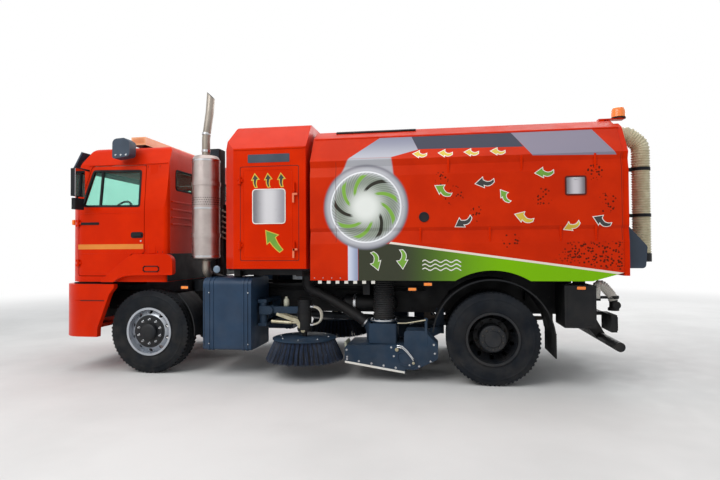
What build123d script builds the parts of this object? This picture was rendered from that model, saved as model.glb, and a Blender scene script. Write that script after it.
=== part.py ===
"""Street sweeper truck: two-axle chassis, tilting cab, fan module, tipping hopper and sweeping gear.

Millimetres. +X points to the rear, +Y to the truck's right, +Z up.
The origin is on the ground, on the centre plane, halfway between front and rear ends.
"""
import os
from math import cos, pi, radians, sin

from build123d import *

os.makedirs("parts", exist_ok=True)

# Overall layout
WHEELBASE = 4200.0
FRONT_OVERHANG = 1250.0
REAR_OVERHANG = 1900.0
BODY_HALF_WIDTH = 1250.0
AXLE_F = FRONT_OVERHANG - (FRONT_OVERHANG + WHEELBASE + REAR_OVERHANG) / 2
AXLE_R = AXLE_F + WHEELBASE

# Clearances
PIN_GAP = 0.3
SEAT_GAP = 0.3
PANEL_GAP = 8.0
SWING_GAP = 6.0

# Wheels
TYRE_RADIUS = 522.0
TYRE_HALF_WIDTH = 147.5
TYRE_BORE_RADIUS = 290.0
TYRE_BEAD_HALF_WIDTH = 125.0
RIM_FLANGE_RADIUS = 300.0
RIM_FLANGE_WIDTH = 12.0
RIM_THICKNESS = 16.0
FRONT_TYRE_Y = 1025.0
TWIN_OUTER_Y = 1087.5
TWIN_SPACING = 330.0
TWIN_INNER_Y = TWIN_OUTER_Y - TWIN_SPACING
SPINDLE_RADIUS = 40.0
REAR_SPINDLE_RADIUS = 60.0
HUB_RADIUS = 105.0
REAR_HUB_RADIUS = 150.0
HUB_FLANGE_RADIUS = 205.0
HAND_HOLES = 10
HAND_HOLE_RADIUS = 23.0
HAND_HOLE_PITCH_RADIUS = 238.0

# Chassis frame
RAIL_OUTER_Y = 432.0
RAIL_HEIGHT = 250.0
RAIL_TOP = 970.0
RAIL_FLANGE = 80.0
RAIL_WALL = 8.0
RAIL_FRONT = AXLE_F - 1050.0
RAIL_REAR = AXLE_R + 1250.0
RAIL_BOTTOM = RAIL_TOP - RAIL_HEIGHT
WEB_Y = RAIL_OUTER_Y - RAIL_WALL

# Front axle and steering
KINGPIN_Y = 925.0
KINGPIN_RADIUS = 22.0
BOSS_RADIUS = 50.0
BOSS_BOTTOM = 450.0
BOSS_TOP = 594.0
KNUCKLE_EAR = 44.0
KNUCKLE_GAP = 2.0
BEAM_HALF_DEPTH = 45.0
BEAM_DROP = 70.0

# Springs and rear axle
SPRING_Y = 392.0
SPRING_HALF_WIDTH = 38.0
FRONT_SPRING_HALF = 720.0
REAR_SPRING_HALF = 750.0
AXLE_TUBE_RADIUS = 75.0

# Cab
CAB_FRONT = AXLE_F - 1180.0
CAB_REAR = AXLE_F + 250.0
CAB_BOTTOM = 1145.0
CAB_BELT = 2060.0
CAB_ROOF = 2880.0
CAB_INSET = 80.0
CAB_HALF_WIDTH = BODY_HALF_WIDTH - CAB_INSET
CAB_WALL = 60.0
GLASS_THICKNESS = 6.0
GLASS_INSET = 24.0
CAB_HINGE_X = AXLE_F - 1130.0

# Fan module
MODULE_FRONT = AXLE_F + 1015.0
MODULE_REAR = AXLE_F + 2065.0
MODULE_BOTTOM = 1310.0
MODULE_ROOF = 3078.0
MODULE_EAVE = MODULE_ROOF - 316.0
MODULE_ROOF_INSET = 270.0
MODULE_WALL = 50.0
MODULE_CHAMFER = 120.0

# Hopper
HOPPER_FRONT = MODULE_REAR + 49.0
HOPPER_REAR = AXLE_R + 1375.0
HOPPER_SKIRT = 1175.0
HOPPER_FLOOR = 1300.0
HOPPER_ROOF = 3000.0
HOPPER_EAVE = HOPPER_ROOF - 113.0
HOPPER_FOLD = HOPPER_EAVE - 312.0
HOPPER_EAVE_Y = BODY_HALF_WIDTH - 200.0
HOPPER_ROOF_Y = HOPPER_EAVE_Y - 200.0
# Swages pressed into the hopper's sides: lower crease, deepest line and upper edge, down from the fold
SWAGES = [(975.0, 830.0, 790.0), (190.0, 75.0, 0.0)]
SWAGE_DEPTH = 24.0
HOPPER_WALL = 40.0
ARCH_CUT_RADIUS = 770.0
TIP_X = AXLE_R + 1100.0
TIP_Z = 1030.0
TIP_PIN_RADIUS = 30.0
SUBRAIL_TOP = 1090.0
BEARER_BOTTOM = 1215.0

# Tailgate
GATE_THICKNESS = 55.0
GATE_GAP = 3.0
GATE_HINGE_X = HOPPER_REAR + 25.0
GATE_HINGE_Z = HOPPER_ROOF - 15.0
GATE_PIN_RADIUS = 15.0

# Tipping cylinder
CYL_BASE_X = AXLE_F + 3470.0
CYL_BASE_Z = 760.0
CYL_EYE_X = AXLE_R + 400.0
CYL_EYE_Z = 1150.0
BARREL_RADIUS = 80.0
ROD_RADIUS = 52.0

# Sweeping gear
BROOM_X = AXLE_F + 1970.0
BROOM_Y = 980.0
BROOM_PIVOT_X = AXLE_F + 1440.0
BROOM_PIVOT_RADIUS = 25.0
BROOM_LIFT_X = BROOM_PIVOT_X + 92.0
BROOM_LIFT_Z = 795.0
BROOM_DISC_RADIUS = 390.0
BRISTLE_RADIUS = 485.0
BRISTLE_BOTTOM = 200.0
BROOM_DISC_BOTTOM = 445.0
BROOM_DISC_TOP = 478.0
HOSE_X = AXLE_F + 2945.0
HOSE_Y = 930.0
HOSE_RADIUS = 130.0
HOSE_WALL = 12.0
DUCT_RADIUS = 158.0
NOZZLE_HINGE_X = AXLE_F + 3610.0
NOZZLE_HINGE_Z = 520.0
NOZZLE_OUTER_Y = 1180.0
NOZZLE_INNER_Y = 600.0
NOZZLE_WALL = 18.0
DUCT_TOP = 700.0
HOSE_TOP = 1255.0


def block(x, y, z):
    """Box between low and high values on each axis."""
    size = (x[1] - x[0], y[1] - y[0], z[1] - z[0])
    centre = ((x[0] + x[1]) / 2, (y[0] + y[1]) / 2, (z[0] + z[1]) / 2)
    return Pos(*centre) * Box(*size)


def rounded(plane, corners):
    """Face on a plane from rows of (first, second, corner radius)."""
    points = [(a, b) for a, b, _ in corners]
    radii = [r for _, _, r in corners]
    return make_face(plane * FilletPolyline(*points, radius=radii, close=True))


def side_prism(corners, y):
    """Outline in X and Z, carried across Y from y[0] to y[1]."""
    return extrude(rounded(Plane.XZ.offset(-y[1]), corners), y[1] - y[0], dir=(0, -1, 0))


def cross_prism(corners, x):
    """Outline in Y and Z, carried along X from x[0] to x[1]."""
    return extrude(rounded(Plane.YZ.offset(x[0]), corners), x[1] - x[0], dir=(1, 0, 0))


def plan_prism(corners, z):
    """Outline in X and Y, carried up from z[0] to z[1]."""
    return extrude(rounded(Plane.XY.offset(z[0]), corners), z[1] - z[0], dir=(0, 0, 1))


def rod(radius, start, end):
    """Round bar between two points."""
    way = Vector(*end) - Vector(*start)
    return extrude(Plane(origin=start, z_dir=way) * Circle(radius), way.length)


def tube(outer, inner, start, end):
    """Round pipe between two points."""
    way = Vector(*end) - Vector(*start)
    return extrude(Plane(origin=start, z_dir=way) * (Circle(outer) - Circle(inner)), way.length)


def section(profile):
    """Half section for a solid of revolution about Y, from rows of (radius, distance outwards)."""
    return make_face(Plane.XY * Polyline(*profile, close=True))


def turned(face, centre):
    """Solid of revolution of a half section about the cross axis through centre."""
    return Pos(*centre) * revolve(face, Axis.Y)


def upright(profile, centre):
    """Solid of revolution about the vertical axis through centre, from rows of (radius, height)."""
    face = make_face(Plane.XZ * Polyline(*profile, close=True))
    return Pos(centre[0], centre[1], 0) * revolve(face, Axis.Z)


def both(shape):
    """A left-hand piece and its right-hand twin."""
    return shape + mirror(shape, about=Plane.XZ)


def right_hand(shape):
    return mirror(shape, about=Plane.XZ)


def symmetric(half):
    """Full closed outline from rows of (y, z, radius) that run up the right-hand half."""
    return half + [(-y, z, r) for y, z, r in reversed(half)]


HINGE_PIN_RADIUS = 8.0
HINGE_EYE_RADIUS = 14.0
HINGE_EYE_HEIGHT = 30.0


def fixed_hinge(axis, z, leaf_x, leaf_y):
    """Half of an upright hinge that carries the pin: two eyes, each on a leaf."""
    h = HINGE_EYE_HEIGHT
    half = rod(HINGE_PIN_RADIUS, (*axis, z), (*axis, z + 3 * h))
    for low in (z, z + 2 * h):
        half += rod(HINGE_EYE_RADIUS, (*axis, low), (*axis, low + h)) + block(leaf_x, leaf_y, (low, low + h))
    return half


def moving_hinge(axis, z, leaf_x, leaf_y):
    """Half of an upright hinge that turns on the pin."""
    low = z + HINGE_EYE_HEIGHT + SEAT_GAP
    high = z + 2 * HINGE_EYE_HEIGHT - SEAT_GAP
    half = rod(HINGE_EYE_RADIUS, (*axis, low), (*axis, high)) + block(leaf_x, leaf_y, (low, high))
    return half - rod(HINGE_PIN_RADIUS + PIN_GAP, (*axis, low - 1.0), (*axis, high + 1.0))


# Chassis
def frame_rails():
    channel = [
        (-RAIL_OUTER_Y, RAIL_BOTTOM, 0), (-RAIL_OUTER_Y + RAIL_FLANGE, RAIL_BOTTOM, 0),
        (-RAIL_OUTER_Y + RAIL_FLANGE, RAIL_BOTTOM + RAIL_WALL, 0), (-WEB_Y, RAIL_BOTTOM + RAIL_WALL, 0),
        (-WEB_Y, RAIL_TOP - RAIL_WALL, 0), (-RAIL_OUTER_Y + RAIL_FLANGE, RAIL_TOP - RAIL_WALL, 0),
        (-RAIL_OUTER_Y + RAIL_FLANGE, RAIL_TOP, 0), (-RAIL_OUTER_Y, RAIL_TOP, 0),
    ]
    return both(cross_prism(channel, (RAIL_FRONT, RAIL_REAR)))


CROSSMEMBER_DEPTH = 70.0
CROSSMEMBER_INSET = 25.0
# Front edges of the crossmembers; the second last carries the tipping cylinder
CROSSMEMBERS = [RAIL_FRONT + 60.0, AXLE_F + 1010.0, MODULE_REAR - 90.0, CYL_BASE_X - 150.0, RAIL_REAR - 90.0]


def frame_crossmembers():
    low = RAIL_BOTTOM + CROSSMEMBER_INSET
    high = RAIL_TOP - CROSSMEMBER_INSET
    members = Part()
    for x in CROSSMEMBERS:
        members += block((x, x + CROSSMEMBER_DEPTH), (-WEB_Y, WEB_Y), (low, high))
    face = CYL_BASE_X - 150.0 + CROSSMEMBER_DEPTH
    ear_y = (BARREL_EYE_HALF + SEAT_GAP, BARREL_EYE_HALF + 25.0)
    ear = block((face, CYL_BASE_X), ear_y, (CYL_BASE_Z - 45.0, CYL_BASE_Z + 45.0))
    ear += rod(45.0, (CYL_BASE_X, ear_y[0], CYL_BASE_Z), (CYL_BASE_X, ear_y[1], CYL_BASE_Z))
    pin = rod(CYL_PIN_RADIUS, (CYL_BASE_X, -ear_y[1], CYL_BASE_Z), (CYL_BASE_X, ear_y[1], CYL_BASE_Z))
    return members + both(ear) + pin + tow_clevis()


def tow_clevis():
    """Two plates behind the rear crossmember with one bore across them for a tow pin."""
    x = CROSSMEMBERS[-1] + CROSSMEMBER_DEPTH
    r = TOW_PLATE_HEIGHT / 2
    outer = TOW_GAP / 2 + TOW_PLATE
    plate = block((x, TOW_X), (TOW_GAP / 2, outer), (TOW_Z - r, TOW_Z + r))
    plate += rod(r, (TOW_X, TOW_GAP / 2, TOW_Z), (TOW_X, outer, TOW_Z))
    return both(plate) - rod(TOW_BORE_RADIUS, (TOW_X, -outer - 1.0, TOW_Z), (TOW_X, outer + 1.0, TOW_Z))


TOW_X = RAIL_REAR + 60.0
TOW_Z = 845.0
TOW_GAP = 70.0
TOW_PLATE = 22.0
TOW_PLATE_HEIGHT = 90.0
TOW_BORE_RADIUS = 20.0
BARREL_EYE_HALF = 40.0
CYL_PIN_RADIUS = 22.0


def engine():
    body = block((AXLE_F - 780.0, AXLE_F + 330.0), (-330.0, 330.0), (620.0, 1120.0))
    for x in (AXLE_F - 640.0, AXLE_F + 130.0):
        body += block((x, x + 90.0), (-WEB_Y, WEB_Y), (790.0, 880.0))
    return body


def driveline():
    gearbox = block((AXLE_F + 330.0, AXLE_F + 930.0), (-190.0, 190.0), (600.0, 930.0))
    nose = (AXLE_R - REAR_NOSE - 8.0, 0, TYRE_RADIUS + 10.0)
    shaft = rod(45.0, (AXLE_F + 930.0, 0, 670.0), nose)
    return gearbox + shaft


REAR_NOSE = 300.0


def front_axle():
    outer = KINGPIN_Y - 65.0
    inner = KINGPIN_Y - 215.0
    beam = cross_prism([
        (-outer, BOSS_BOTTOM, 0), (-inner, BOSS_BOTTOM - BEAM_DROP, 40), (inner, BOSS_BOTTOM - BEAM_DROP, 40),
        (outer, BOSS_BOTTOM, 0), (KINGPIN_Y, BOSS_BOTTOM, 0), (KINGPIN_Y, BOSS_TOP - 30.0, 0),
        (outer, BOSS_TOP - 30.0, 0), (inner, BOSS_TOP - 114.0, 40), (-inner, BOSS_TOP - 114.0, 40),
        (-outer, BOSS_TOP - 30.0, 0), (-KINGPIN_Y, BOSS_TOP - 30.0, 0), (-KINGPIN_Y, BOSS_BOTTOM, 0),
    ], (AXLE_F - BEAM_HALF_DEPTH, AXLE_F + BEAM_HALF_DEPTH))
    ends = rod(BOSS_RADIUS, (AXLE_F, -KINGPIN_Y, BOSS_BOTTOM), (AXLE_F, -KINGPIN_Y, BOSS_TOP))
    low = BOSS_BOTTOM - KNUCKLE_GAP - KNUCKLE_EAR
    high = BOSS_TOP + KNUCKLE_GAP + KNUCKLE_EAR
    ends += rod(KINGPIN_RADIUS, (AXLE_F, -KINGPIN_Y, low), (AXLE_F, -KINGPIN_Y, high))
    return beam + both(ends)


def knuckle():
    low = BOSS_BOTTOM - KNUCKLE_GAP - KNUCKLE_EAR
    high = BOSS_TOP + KNUCKLE_GAP + KNUCKLE_EAR
    face = KINGPIN_Y + BOSS_RADIUS + 6.0
    ears = Part()
    for z in (low, BOSS_TOP + KNUCKLE_GAP):
        ears += rod(BOSS_RADIUS, (AXLE_F, -KINGPIN_Y, z), (AXLE_F, -KINGPIN_Y, z + KNUCKLE_EAR))
        ears += block((AXLE_F - BOSS_RADIUS, AXLE_F + BOSS_RADIUS), (-face, -KINGPIN_Y), (z, z + KNUCKLE_EAR))
    web = block((AXLE_F - BOSS_RADIUS, AXLE_F + BOSS_RADIUS), (-face - 24.0, -face), (low, high))
    spindle = rod(SPINDLE_RADIUS, (AXLE_F, -face - 10.0, TYRE_RADIUS), (AXLE_F, -SPINDLE_END_Y, TYRE_RADIUS))
    bore = rod(KINGPIN_RADIUS + PIN_GAP, (AXLE_F, -KINGPIN_Y, low - 1.0), (AXLE_F, -KINGPIN_Y, high + 1.0))
    return ears + web + spindle - bore


SPINDLE_END_Y = 1130.0


def leaf_spring(axle_x, seat_z, half_length):
    """Leaf pack with its two hangers, under the left rail."""
    y = (-SPRING_Y - SPRING_HALF_WIDTH, -SPRING_Y + SPRING_HALF_WIDTH)
    eye_z = RAIL_BOTTOM - 45.0
    pack = side_prism([
        (axle_x - 120.0, seat_z, 0), (axle_x + 120.0, seat_z, 0), (axle_x + half_length, eye_z - 22.0, 0),
        (axle_x + half_length, eye_z + 8.0, 0), (axle_x, seat_z + 95.0, 300),
        (axle_x - half_length, eye_z + 8.0, 0), (axle_x - half_length, eye_z - 22.0, 0),
    ], y)
    for x in (axle_x - half_length, axle_x + half_length):
        pack += block((x - 45.0, x + 45.0), y, (eye_z - 40.0, RAIL_BOTTOM))
    return pack


def leaf_springs():
    front = leaf_spring(AXLE_F, BOSS_TOP - 114.0, FRONT_SPRING_HALF)
    rear = leaf_spring(AXLE_R, TYRE_RADIUS + AXLE_TUBE_RADIUS, REAR_SPRING_HALF)
    return both(front) + both(rear)


def rear_axle():
    z = TYRE_RADIUS
    housing = rod(AXLE_TUBE_RADIUS, (AXLE_R, -DRUM_INNER_Y + 12.0, z), (AXLE_R, DRUM_INNER_Y - 12.0, z))
    housing += rod(185.0, (AXLE_R - 120.0, 0, z), (AXLE_R + 110.0, 0, z))
    housing += rod(95.0, (AXLE_R - REAR_NOSE, 0, z + 10.0), (AXLE_R - 100.0, 0, z + 10.0))
    for side in (-1, 1):
        housing += rod(REAR_SPINDLE_RADIUS, (AXLE_R, 0, z), (AXLE_R, side * REAR_SPINDLE_END_Y, z))
    return housing


DRUM_INNER_Y = 655.0
REAR_SPINDLE_END_Y = 1130.0
DRUM_RADIUS = 210.0


def tyre(centre):
    r = TYRE_RADIUS
    w = TYRE_HALF_WIDTH
    bead = TYRE_BEAD_HALF_WIDTH
    half = [(TYRE_BORE_RADIUS, bead), (TYRE_BORE_RADIUS + 14.0, bead + 2.0), (r - 150.0, w - 2.0),
            (r - 90.0, w), (r - 34.0, w - 8.0), (r - 4.0, w - 26.0), (r, w - 60.0)]
    return turned(section(half + [(a, -b) for a, b in reversed(half)]), centre)


def barrel(shift):
    """Half section of a rim barrel with both flanges, moved outwards."""
    half = [(RIM_FLANGE_RADIUS, TYRE_BEAD_HALF_WIDTH + 4.0 + RIM_FLANGE_WIDTH),
            (RIM_FLANGE_RADIUS, TYRE_BEAD_HALF_WIDTH + 4.0),
            (TYRE_BORE_RADIUS - SEAT_GAP, TYRE_BEAD_HALF_WIDTH + 4.0)]
    inner = [(TYRE_BORE_RADIUS - RIM_THICKNESS, -TYRE_BEAD_HALF_WIDTH - 4.0 - RIM_FLANGE_WIDTH),
             (TYRE_BORE_RADIUS - RIM_THICKNESS, TYRE_BEAD_HALF_WIDTH + 4.0 + RIM_FLANGE_WIDTH)]
    rows = half + [(a, -b) for a, b in reversed(half)] + inner
    return section([(a, b + shift) for a, b in rows])


def disc(face, rim):
    """Half section of a wheel disc: flat hub flange at face, cone out to the barrel at rim."""
    rim_r = TYRE_BORE_RADIUS - RIM_THICKNESS + 2.0
    t = RIM_THICKNESS if face > rim else -RIM_THICKNESS
    return section([(0, face), (HUB_FLANGE_RADIUS, face), (rim_r, rim), (rim_r, rim - t * 1.6),
                    (HUB_FLANGE_RADIUS - 4.0, face - t), (0, face - t)])


def band(radius, start, end):
    """Half section of a round bar on the axis."""
    return section([(0, start), (radius, start), (radius, end), (0, end)])


def hand_holes(x, y):
    """Ring of holes through the wheel discs between two distances from the centre plane."""
    holes = Part()
    for step in range(HAND_HOLES):
        angle = radians(360.0 * step / HAND_HOLES)
        cx = x + HAND_HOLE_PITCH_RADIUS * sin(angle)
        cz = TYRE_RADIUS + HAND_HOLE_PITCH_RADIUS * cos(angle)
        holes += rod(HAND_HOLE_RADIUS, (cx, y[0], cz), (cx, y[1], cz))
    return holes


def front_rim():
    """Left front wheel: barrel, disc and hub."""
    face = barrel(FRONT_TYRE_Y) + disc(FRONT_TYRE_Y + 112.0, FRONT_TYRE_Y + 60.0)
    face += band(HUB_RADIUS, FRONT_TYRE_Y - 10.0, HUB_END_Y)
    face -= band(SPINDLE_RADIUS + PIN_GAP, FRONT_TYRE_Y - 20.0, SPINDLE_END_Y + 4.0)
    wheel = turned(face, (AXLE_F, 0, TYRE_RADIUS)) - hand_holes(AXLE_F, (FRONT_TYRE_Y, HUB_END_Y))
    return mirror(wheel, about=Plane.XZ)


HUB_END_Y = 1175.0
REAR_HUB_END_Y = 1195.0


def rear_rim():
    """Left rear twin wheel: two barrels, discs back to back, hub and brake drum."""
    mid = (TWIN_OUTER_Y + TWIN_INNER_Y) / 2
    face = barrel(TWIN_OUTER_Y) + barrel(TWIN_INNER_Y)
    face += disc(mid, TWIN_OUTER_Y + 10.0) + disc(mid + 1.0, TWIN_INNER_Y - 10.0)
    face += band(REAR_HUB_RADIUS, mid, REAR_HUB_END_Y) + band(DRUM_RADIUS, DRUM_INNER_Y, mid)
    face -= band(REAR_SPINDLE_RADIUS + PIN_GAP, DRUM_INNER_Y - 20.0, REAR_SPINDLE_END_Y + 4.0)
    wheel = turned(face, (AXLE_R, 0, TYRE_RADIUS)) - hand_holes(AXLE_R, (TWIN_INNER_Y, REAR_HUB_END_Y))
    return mirror(wheel, about=Plane.XZ)


def arch_mouth(grow=0.0):
    """Front wheel opening seen from the side, an outline of (x, z, radius)."""
    return [
        (AXLE_F - 660.0 - grow, 300.0, 0), (AXLE_F - 645.0 - grow, 570.0, 0),
        (AXLE_F - 480.0 - grow, 1005.0 + grow, 60), (AXLE_F - 300.0, 1212.0 + grow, 60),
        (AXLE_F + 700.0, 1225.0 + grow, 0), (AXLE_F + 700.0, 300.0, 0),
    ]


BUMPER_FRONT = AXLE_F - FRONT_OVERHANG
BUMPER_BOTTOM = 455.0
BUMPER_TOP = CAB_BOTTOM - 27.0
BUMPER_CORNER_Y = 700.0
BUMPER_CORNER_RADIUS = 330.0
BUMPER_WALL = 70.0
BUMPER_BOW = 30.0


def front_bumper():
    """Centre bar between the corner pieces, with two brackets back to the rails."""
    y = BUMPER_CORNER_Y - SEAT_GAP
    bar = plan_prism([
        (BUMPER_FRONT + BUMPER_BOW, -y, 0), (BUMPER_FRONT, 0, 3000), (BUMPER_FRONT + BUMPER_BOW, y, 0),
        (BUMPER_FRONT + BUMPER_BOW + BUMPER_WALL, y, 0), (BUMPER_FRONT + BUMPER_BOW + BUMPER_WALL, -y, 0),
    ], (BUMPER_BOTTOM, RAIL_TOP - 20.0))
    x = (BUMPER_FRONT + BUMPER_BOW + BUMPER_WALL - 5.0, RAIL_FRONT)
    bracket = block(x, (-RAIL_OUTER_Y, -RAIL_OUTER_Y + RAIL_FLANGE), (RAIL_BOTTOM + 20.0, RAIL_TOP - 40.0))
    return bar + both(bracket)


def bumper_corner():
    """Left corner piece: wraps from the front face to the wheel opening, and carries the step."""
    x0 = BUMPER_FRONT + BUMPER_BOW
    x1 = AXLE_F - 420.0
    y1 = BODY_HALF_WIDTH
    w = BUMPER_WALL
    skin = plan_prism([
        (x0, -BUMPER_CORNER_Y, 0), (x0, -y1, BUMPER_CORNER_RADIUS), (x1, -y1, 0), (x1, -y1 + w, 0),
        (x0 + w, -y1 + w, BUMPER_CORNER_RADIUS - w), (x0 + w, -BUMPER_CORNER_Y, 0),
    ], (BUMPER_BOTTOM, BUMPER_TOP))
    shelf = plan_prism([
        (x0 + w - 5.0, -BUMPER_CORNER_Y - 60.0, 0), (x0 + w - 5.0, -y1 + w - 5.0, BUMPER_CORNER_RADIUS - w),
        (AXLE_F - 700.0, -y1 + w - 5.0, 0), (AXLE_F - 700.0, -BUMPER_CORNER_Y - 60.0, 0),
    ], (BUMPER_BOTTOM + 120.0, BUMPER_BOTTOM + 145.0))
    stay = block((AXLE_F - 760.0, AXLE_F - 720.0), (-BUMPER_CORNER_Y - 100.0, -RAIL_OUTER_Y),
                 (BUMPER_BOTTOM + 120.0, BUMPER_BOTTOM + 160.0))
    hanger = block((AXLE_F - 760.0, AXLE_F - 720.0), (-RAIL_OUTER_Y - 40.0, -RAIL_OUTER_Y),
                   (BUMPER_BOTTOM + 120.0, RAIL_BOTTOM + 60.0))
    piece = skin + shelf + stay + hanger
    piece -= side_prism(arch_mouth(), (-BODY_HALF_WIDTH - 50.0, -BUMPER_CORNER_Y))
    groove_z = 905.0
    piece -= block((x0 - 50.0, x1 + 50.0), (-y1 - 50.0, -y1 + 10.0), (groove_z, groove_z + 14.0))
    for y in LAMP_Y:
        piece -= block((x0 - 50.0, x0 + LAMP_DEPTH), (-y[1], -y[0]), LAMP_Z)
    return piece


def bumper_corners():
    return both(bumper_corner())


LAMP_Y = [(770.0, 900.0), (915.0, 1060.0)]
LAMP_Z = (620.0, 790.0)
LAMP_DEPTH = 60.0


def front_lamps():
    """Headlamps that fill the pockets of the bumper corners."""
    x0 = BUMPER_FRONT + BUMPER_BOW
    x1 = AXLE_F - 420.0
    y1 = BODY_HALF_WIDTH
    solid = plan_prism([
        (x0 + 6.0, -BUMPER_CORNER_Y, 0), (x0 + 6.0, -y1, BUMPER_CORNER_RADIUS), (x1, -y1, 0),
        (x1, -BUMPER_CORNER_Y, 0)], (BUMPER_BOTTOM, BUMPER_TOP))
    lamps = Part()
    g = SEAT_GAP
    for y in LAMP_Y:
        pocket = block((x0 - 50.0, x0 + LAMP_DEPTH - g), (-y[1] + g, -y[0] - g), (LAMP_Z[0] + g, LAMP_Z[1] - g))
        lamps += solid & pocket
    return both(lamps)


def front_mudguard():
    """Left black mudguard behind the front wheel, hung from the rail by one arm."""
    cx = AXLE_F
    y = (-1175.0, -760.0)
    r = 615.0
    t = 12.0
    cz = TYRE_RADIUS
    band = extrude(Plane.XZ.offset(-y[1]) * Pos(cx, cz) * (Circle(r + t) - Circle(r)), y[1] - y[0])
    keep = block((cx + 400.0, cx + r + t + 5.0), y, (cz - 40.0, 1135.0))
    arm = block((cx + r + 2.0, cx + r + t + 22.0), (-800.0, -RAIL_OUTER_Y), (cz + 200.0, cz + 250.0))
    arm += block((cx + 520.0, cx + r + t + 22.0), (-800.0, -765.0), (cz + 200.0, cz + 250.0))
    arm -= rod(r + 2.0, (cx, -900.0, cz), (cx, -300.0, cz))
    return (band & keep) + arm


def side_tank():
    """Left tank behind the cab with a rounded top edge and four straps, on two arms from the rail."""
    x = (AXLE_F + 745.0, AXLE_F + 1362.0)
    z = (324.0, 1198.0)
    y = (-BODY_HALF_WIDTH + 50.0, -560.0)
    tank = cross_prism([(y[0], z[0], 30), (y[1], z[0], 30), (y[1], z[1], 60), (y[0], z[1], 90)], x)
    for strap in (60.0, 110.0, 500.0, 550.0):
        outer = cross_prism([(y[0] - 8.0, z[0] - 8.0, 38), (y[1] + 8.0, z[0] - 8.0, 38),
                             (y[1] + 8.0, z[1] + 8.0, 68), (y[0] - 8.0, z[1] + 8.0, 98)],
                            (x[0] + strap, x[0] + strap + 24.0))
        tank += outer
    for arm in (x[0] + 70.0, x[0] + 510.0):
        tank += block((arm, arm + 60.0), (y[1] - 5.0, -RAIL_OUTER_Y), (760.0, 900.0))
    return tank


EXHAUST_X = AXLE_F + 690.0
EXHAUST_Y = BODY_HALF_WIDTH - 250.0
MUFFLER_RADIUS = 172.0
MUFFLER_BOTTOM = 1440.0
MUFFLER_TOP = 2726.0
STACK_RADIUS = 50.0
STACK_TIP_Z = 3560.0


def exhaust_stack():
    """Upright muffler with its outlet pipe, inlet elbow and carrying post."""
    x = EXHAUST_X
    y = -EXHAUST_Y
    r = MUFFLER_RADIUS
    body = upright([(0, MUFFLER_BOTTOM - 40.0), (STACK_RADIUS, MUFFLER_BOTTOM - 40.0), (r, MUFFLER_BOTTOM),
                    (r, MUFFLER_TOP - 40.0), (r - 25.0, MUFFLER_TOP), (STACK_RADIUS, MUFFLER_TOP + 25.0),
                    (0, MUFFLER_TOP + 25.0)], (x, y))
    route = FilletPolyline((x, y, MUFFLER_TOP), (x, y, 2960.0), (x + 50.0, y, 3300.0),
                           (x + 70.0, y, STACK_TIP_Z), radius=[400.0, 700.0])
    outlet = sweep(Plane(origin=(x, y, MUFFLER_TOP), z_dir=(0, 0, 1)) * Circle(STACK_RADIUS), path=route)
    outlet -= Plane(origin=(x + 70.0, y, STACK_TIP_Z - 60.0), z_dir=(0.7, 0, 0.7)) * Pos(0, 0, 100.0) * \
        Box(400.0, 400.0, 200.0)
    elbow_route = FilletPolyline((x, y, MUFFLER_BOTTOM), (x, y, 1250.0), (x, -560.0, 1160.0), radius=[90.0])
    elbow = sweep(Plane(origin=(x, y, MUFFLER_BOTTOM), z_dir=(0, 0, -1)) * Circle(STACK_RADIUS),
                  path=elbow_route)
    post_y = (-790.0, -730.0)
    post = block((x - 30.0, x + 30.0), post_y, (RAIL_TOP - 120.0, 2500.0))
    foot = block((x - 40.0, x + 40.0), (post_y[0], -RAIL_OUTER_Y), (RAIL_TOP - 120.0, RAIL_TOP - 40.0))
    clamps = Part()
    for z in (1700.0, 2350.0):
        clamps += upright([(r - 2.0, z), (r + 10.0, z), (r + 10.0, z + 50.0), (r - 2.0, z + 50.0)], (x, y))
        clamps += block((x - 25.0, x + 25.0), (y + r - 5.0, post_y[0] + 5.0), (z, z + 50.0))
    return body + outlet + elbow + post + foot + clamps


def rear_fender():
    """Left band over the twin wheel, with its flap and two arms from the rail."""
    r = 672.0
    t = 14.0
    y = (-BODY_HALF_WIDTH, -600.0)
    cz = TYRE_RADIUS
    ring = extrude(Plane.XZ.offset(-y[1]) * Pos(AXLE_R, cz) * (Circle(r) - Circle(r - t)), y[1] - y[0])
    ring &= block((AXLE_R - r - 1.0, AXLE_R + r + 1.0), y, (cz + 70.0, cz + r + 1.0))
    flap = block((AXLE_R + r - 12.0, AXLE_R + r), (y[0], y[1] - 20.0), (330.0, cz + 80.0))
    arms = Part()
    for x in (AXLE_R - 480.0, AXLE_R + 440.0):
        arms += block((x, x + 40.0), (y[0] + 40.0, -RAIL_OUTER_Y), (900.0, 1005.0))
    arms -= rod(r - 4.0, (AXLE_R, y[0] - 5.0, cz), (AXLE_R, -620.0, cz))
    return ring + flap + arms


def rear_underrun():
    """Round bumper bar with two slanted arms from the rail ends."""
    x = AXLE_R + 1350.0
    z = 455.0
    bar = rod(52.0, (x, -1160.0, z), (x, 1160.0, z))
    arm = side_prism([(x - 50.0, z - 20.0, 0), (x + 40.0, z - 20.0, 0), (x + 40.0, z + 40.0, 20),
                      (RAIL_REAR - 60.0, RAIL_BOTTOM + 140.0, 0), (RAIL_REAR - 180.0, RAIL_BOTTOM + 140.0, 0),
                      (RAIL_REAR - 180.0, RAIL_BOTTOM, 0)], (-RAIL_OUTER_Y - 40.0, -RAIL_OUTER_Y))
    return bar + both(arm)


def rear_lamps():
    """Lamp boards on brackets behind the rail ends."""
    x = RAIL_REAR + 20.0
    board = block((x, x + 60.0), (-1130.0, -760.0), (610.0, 800.0))
    bracket = block((x - 60.0, x + 10.0), (-800.0, -RAIL_OUTER_Y), (760.0, 800.0))
    return both(board + bracket)


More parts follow.
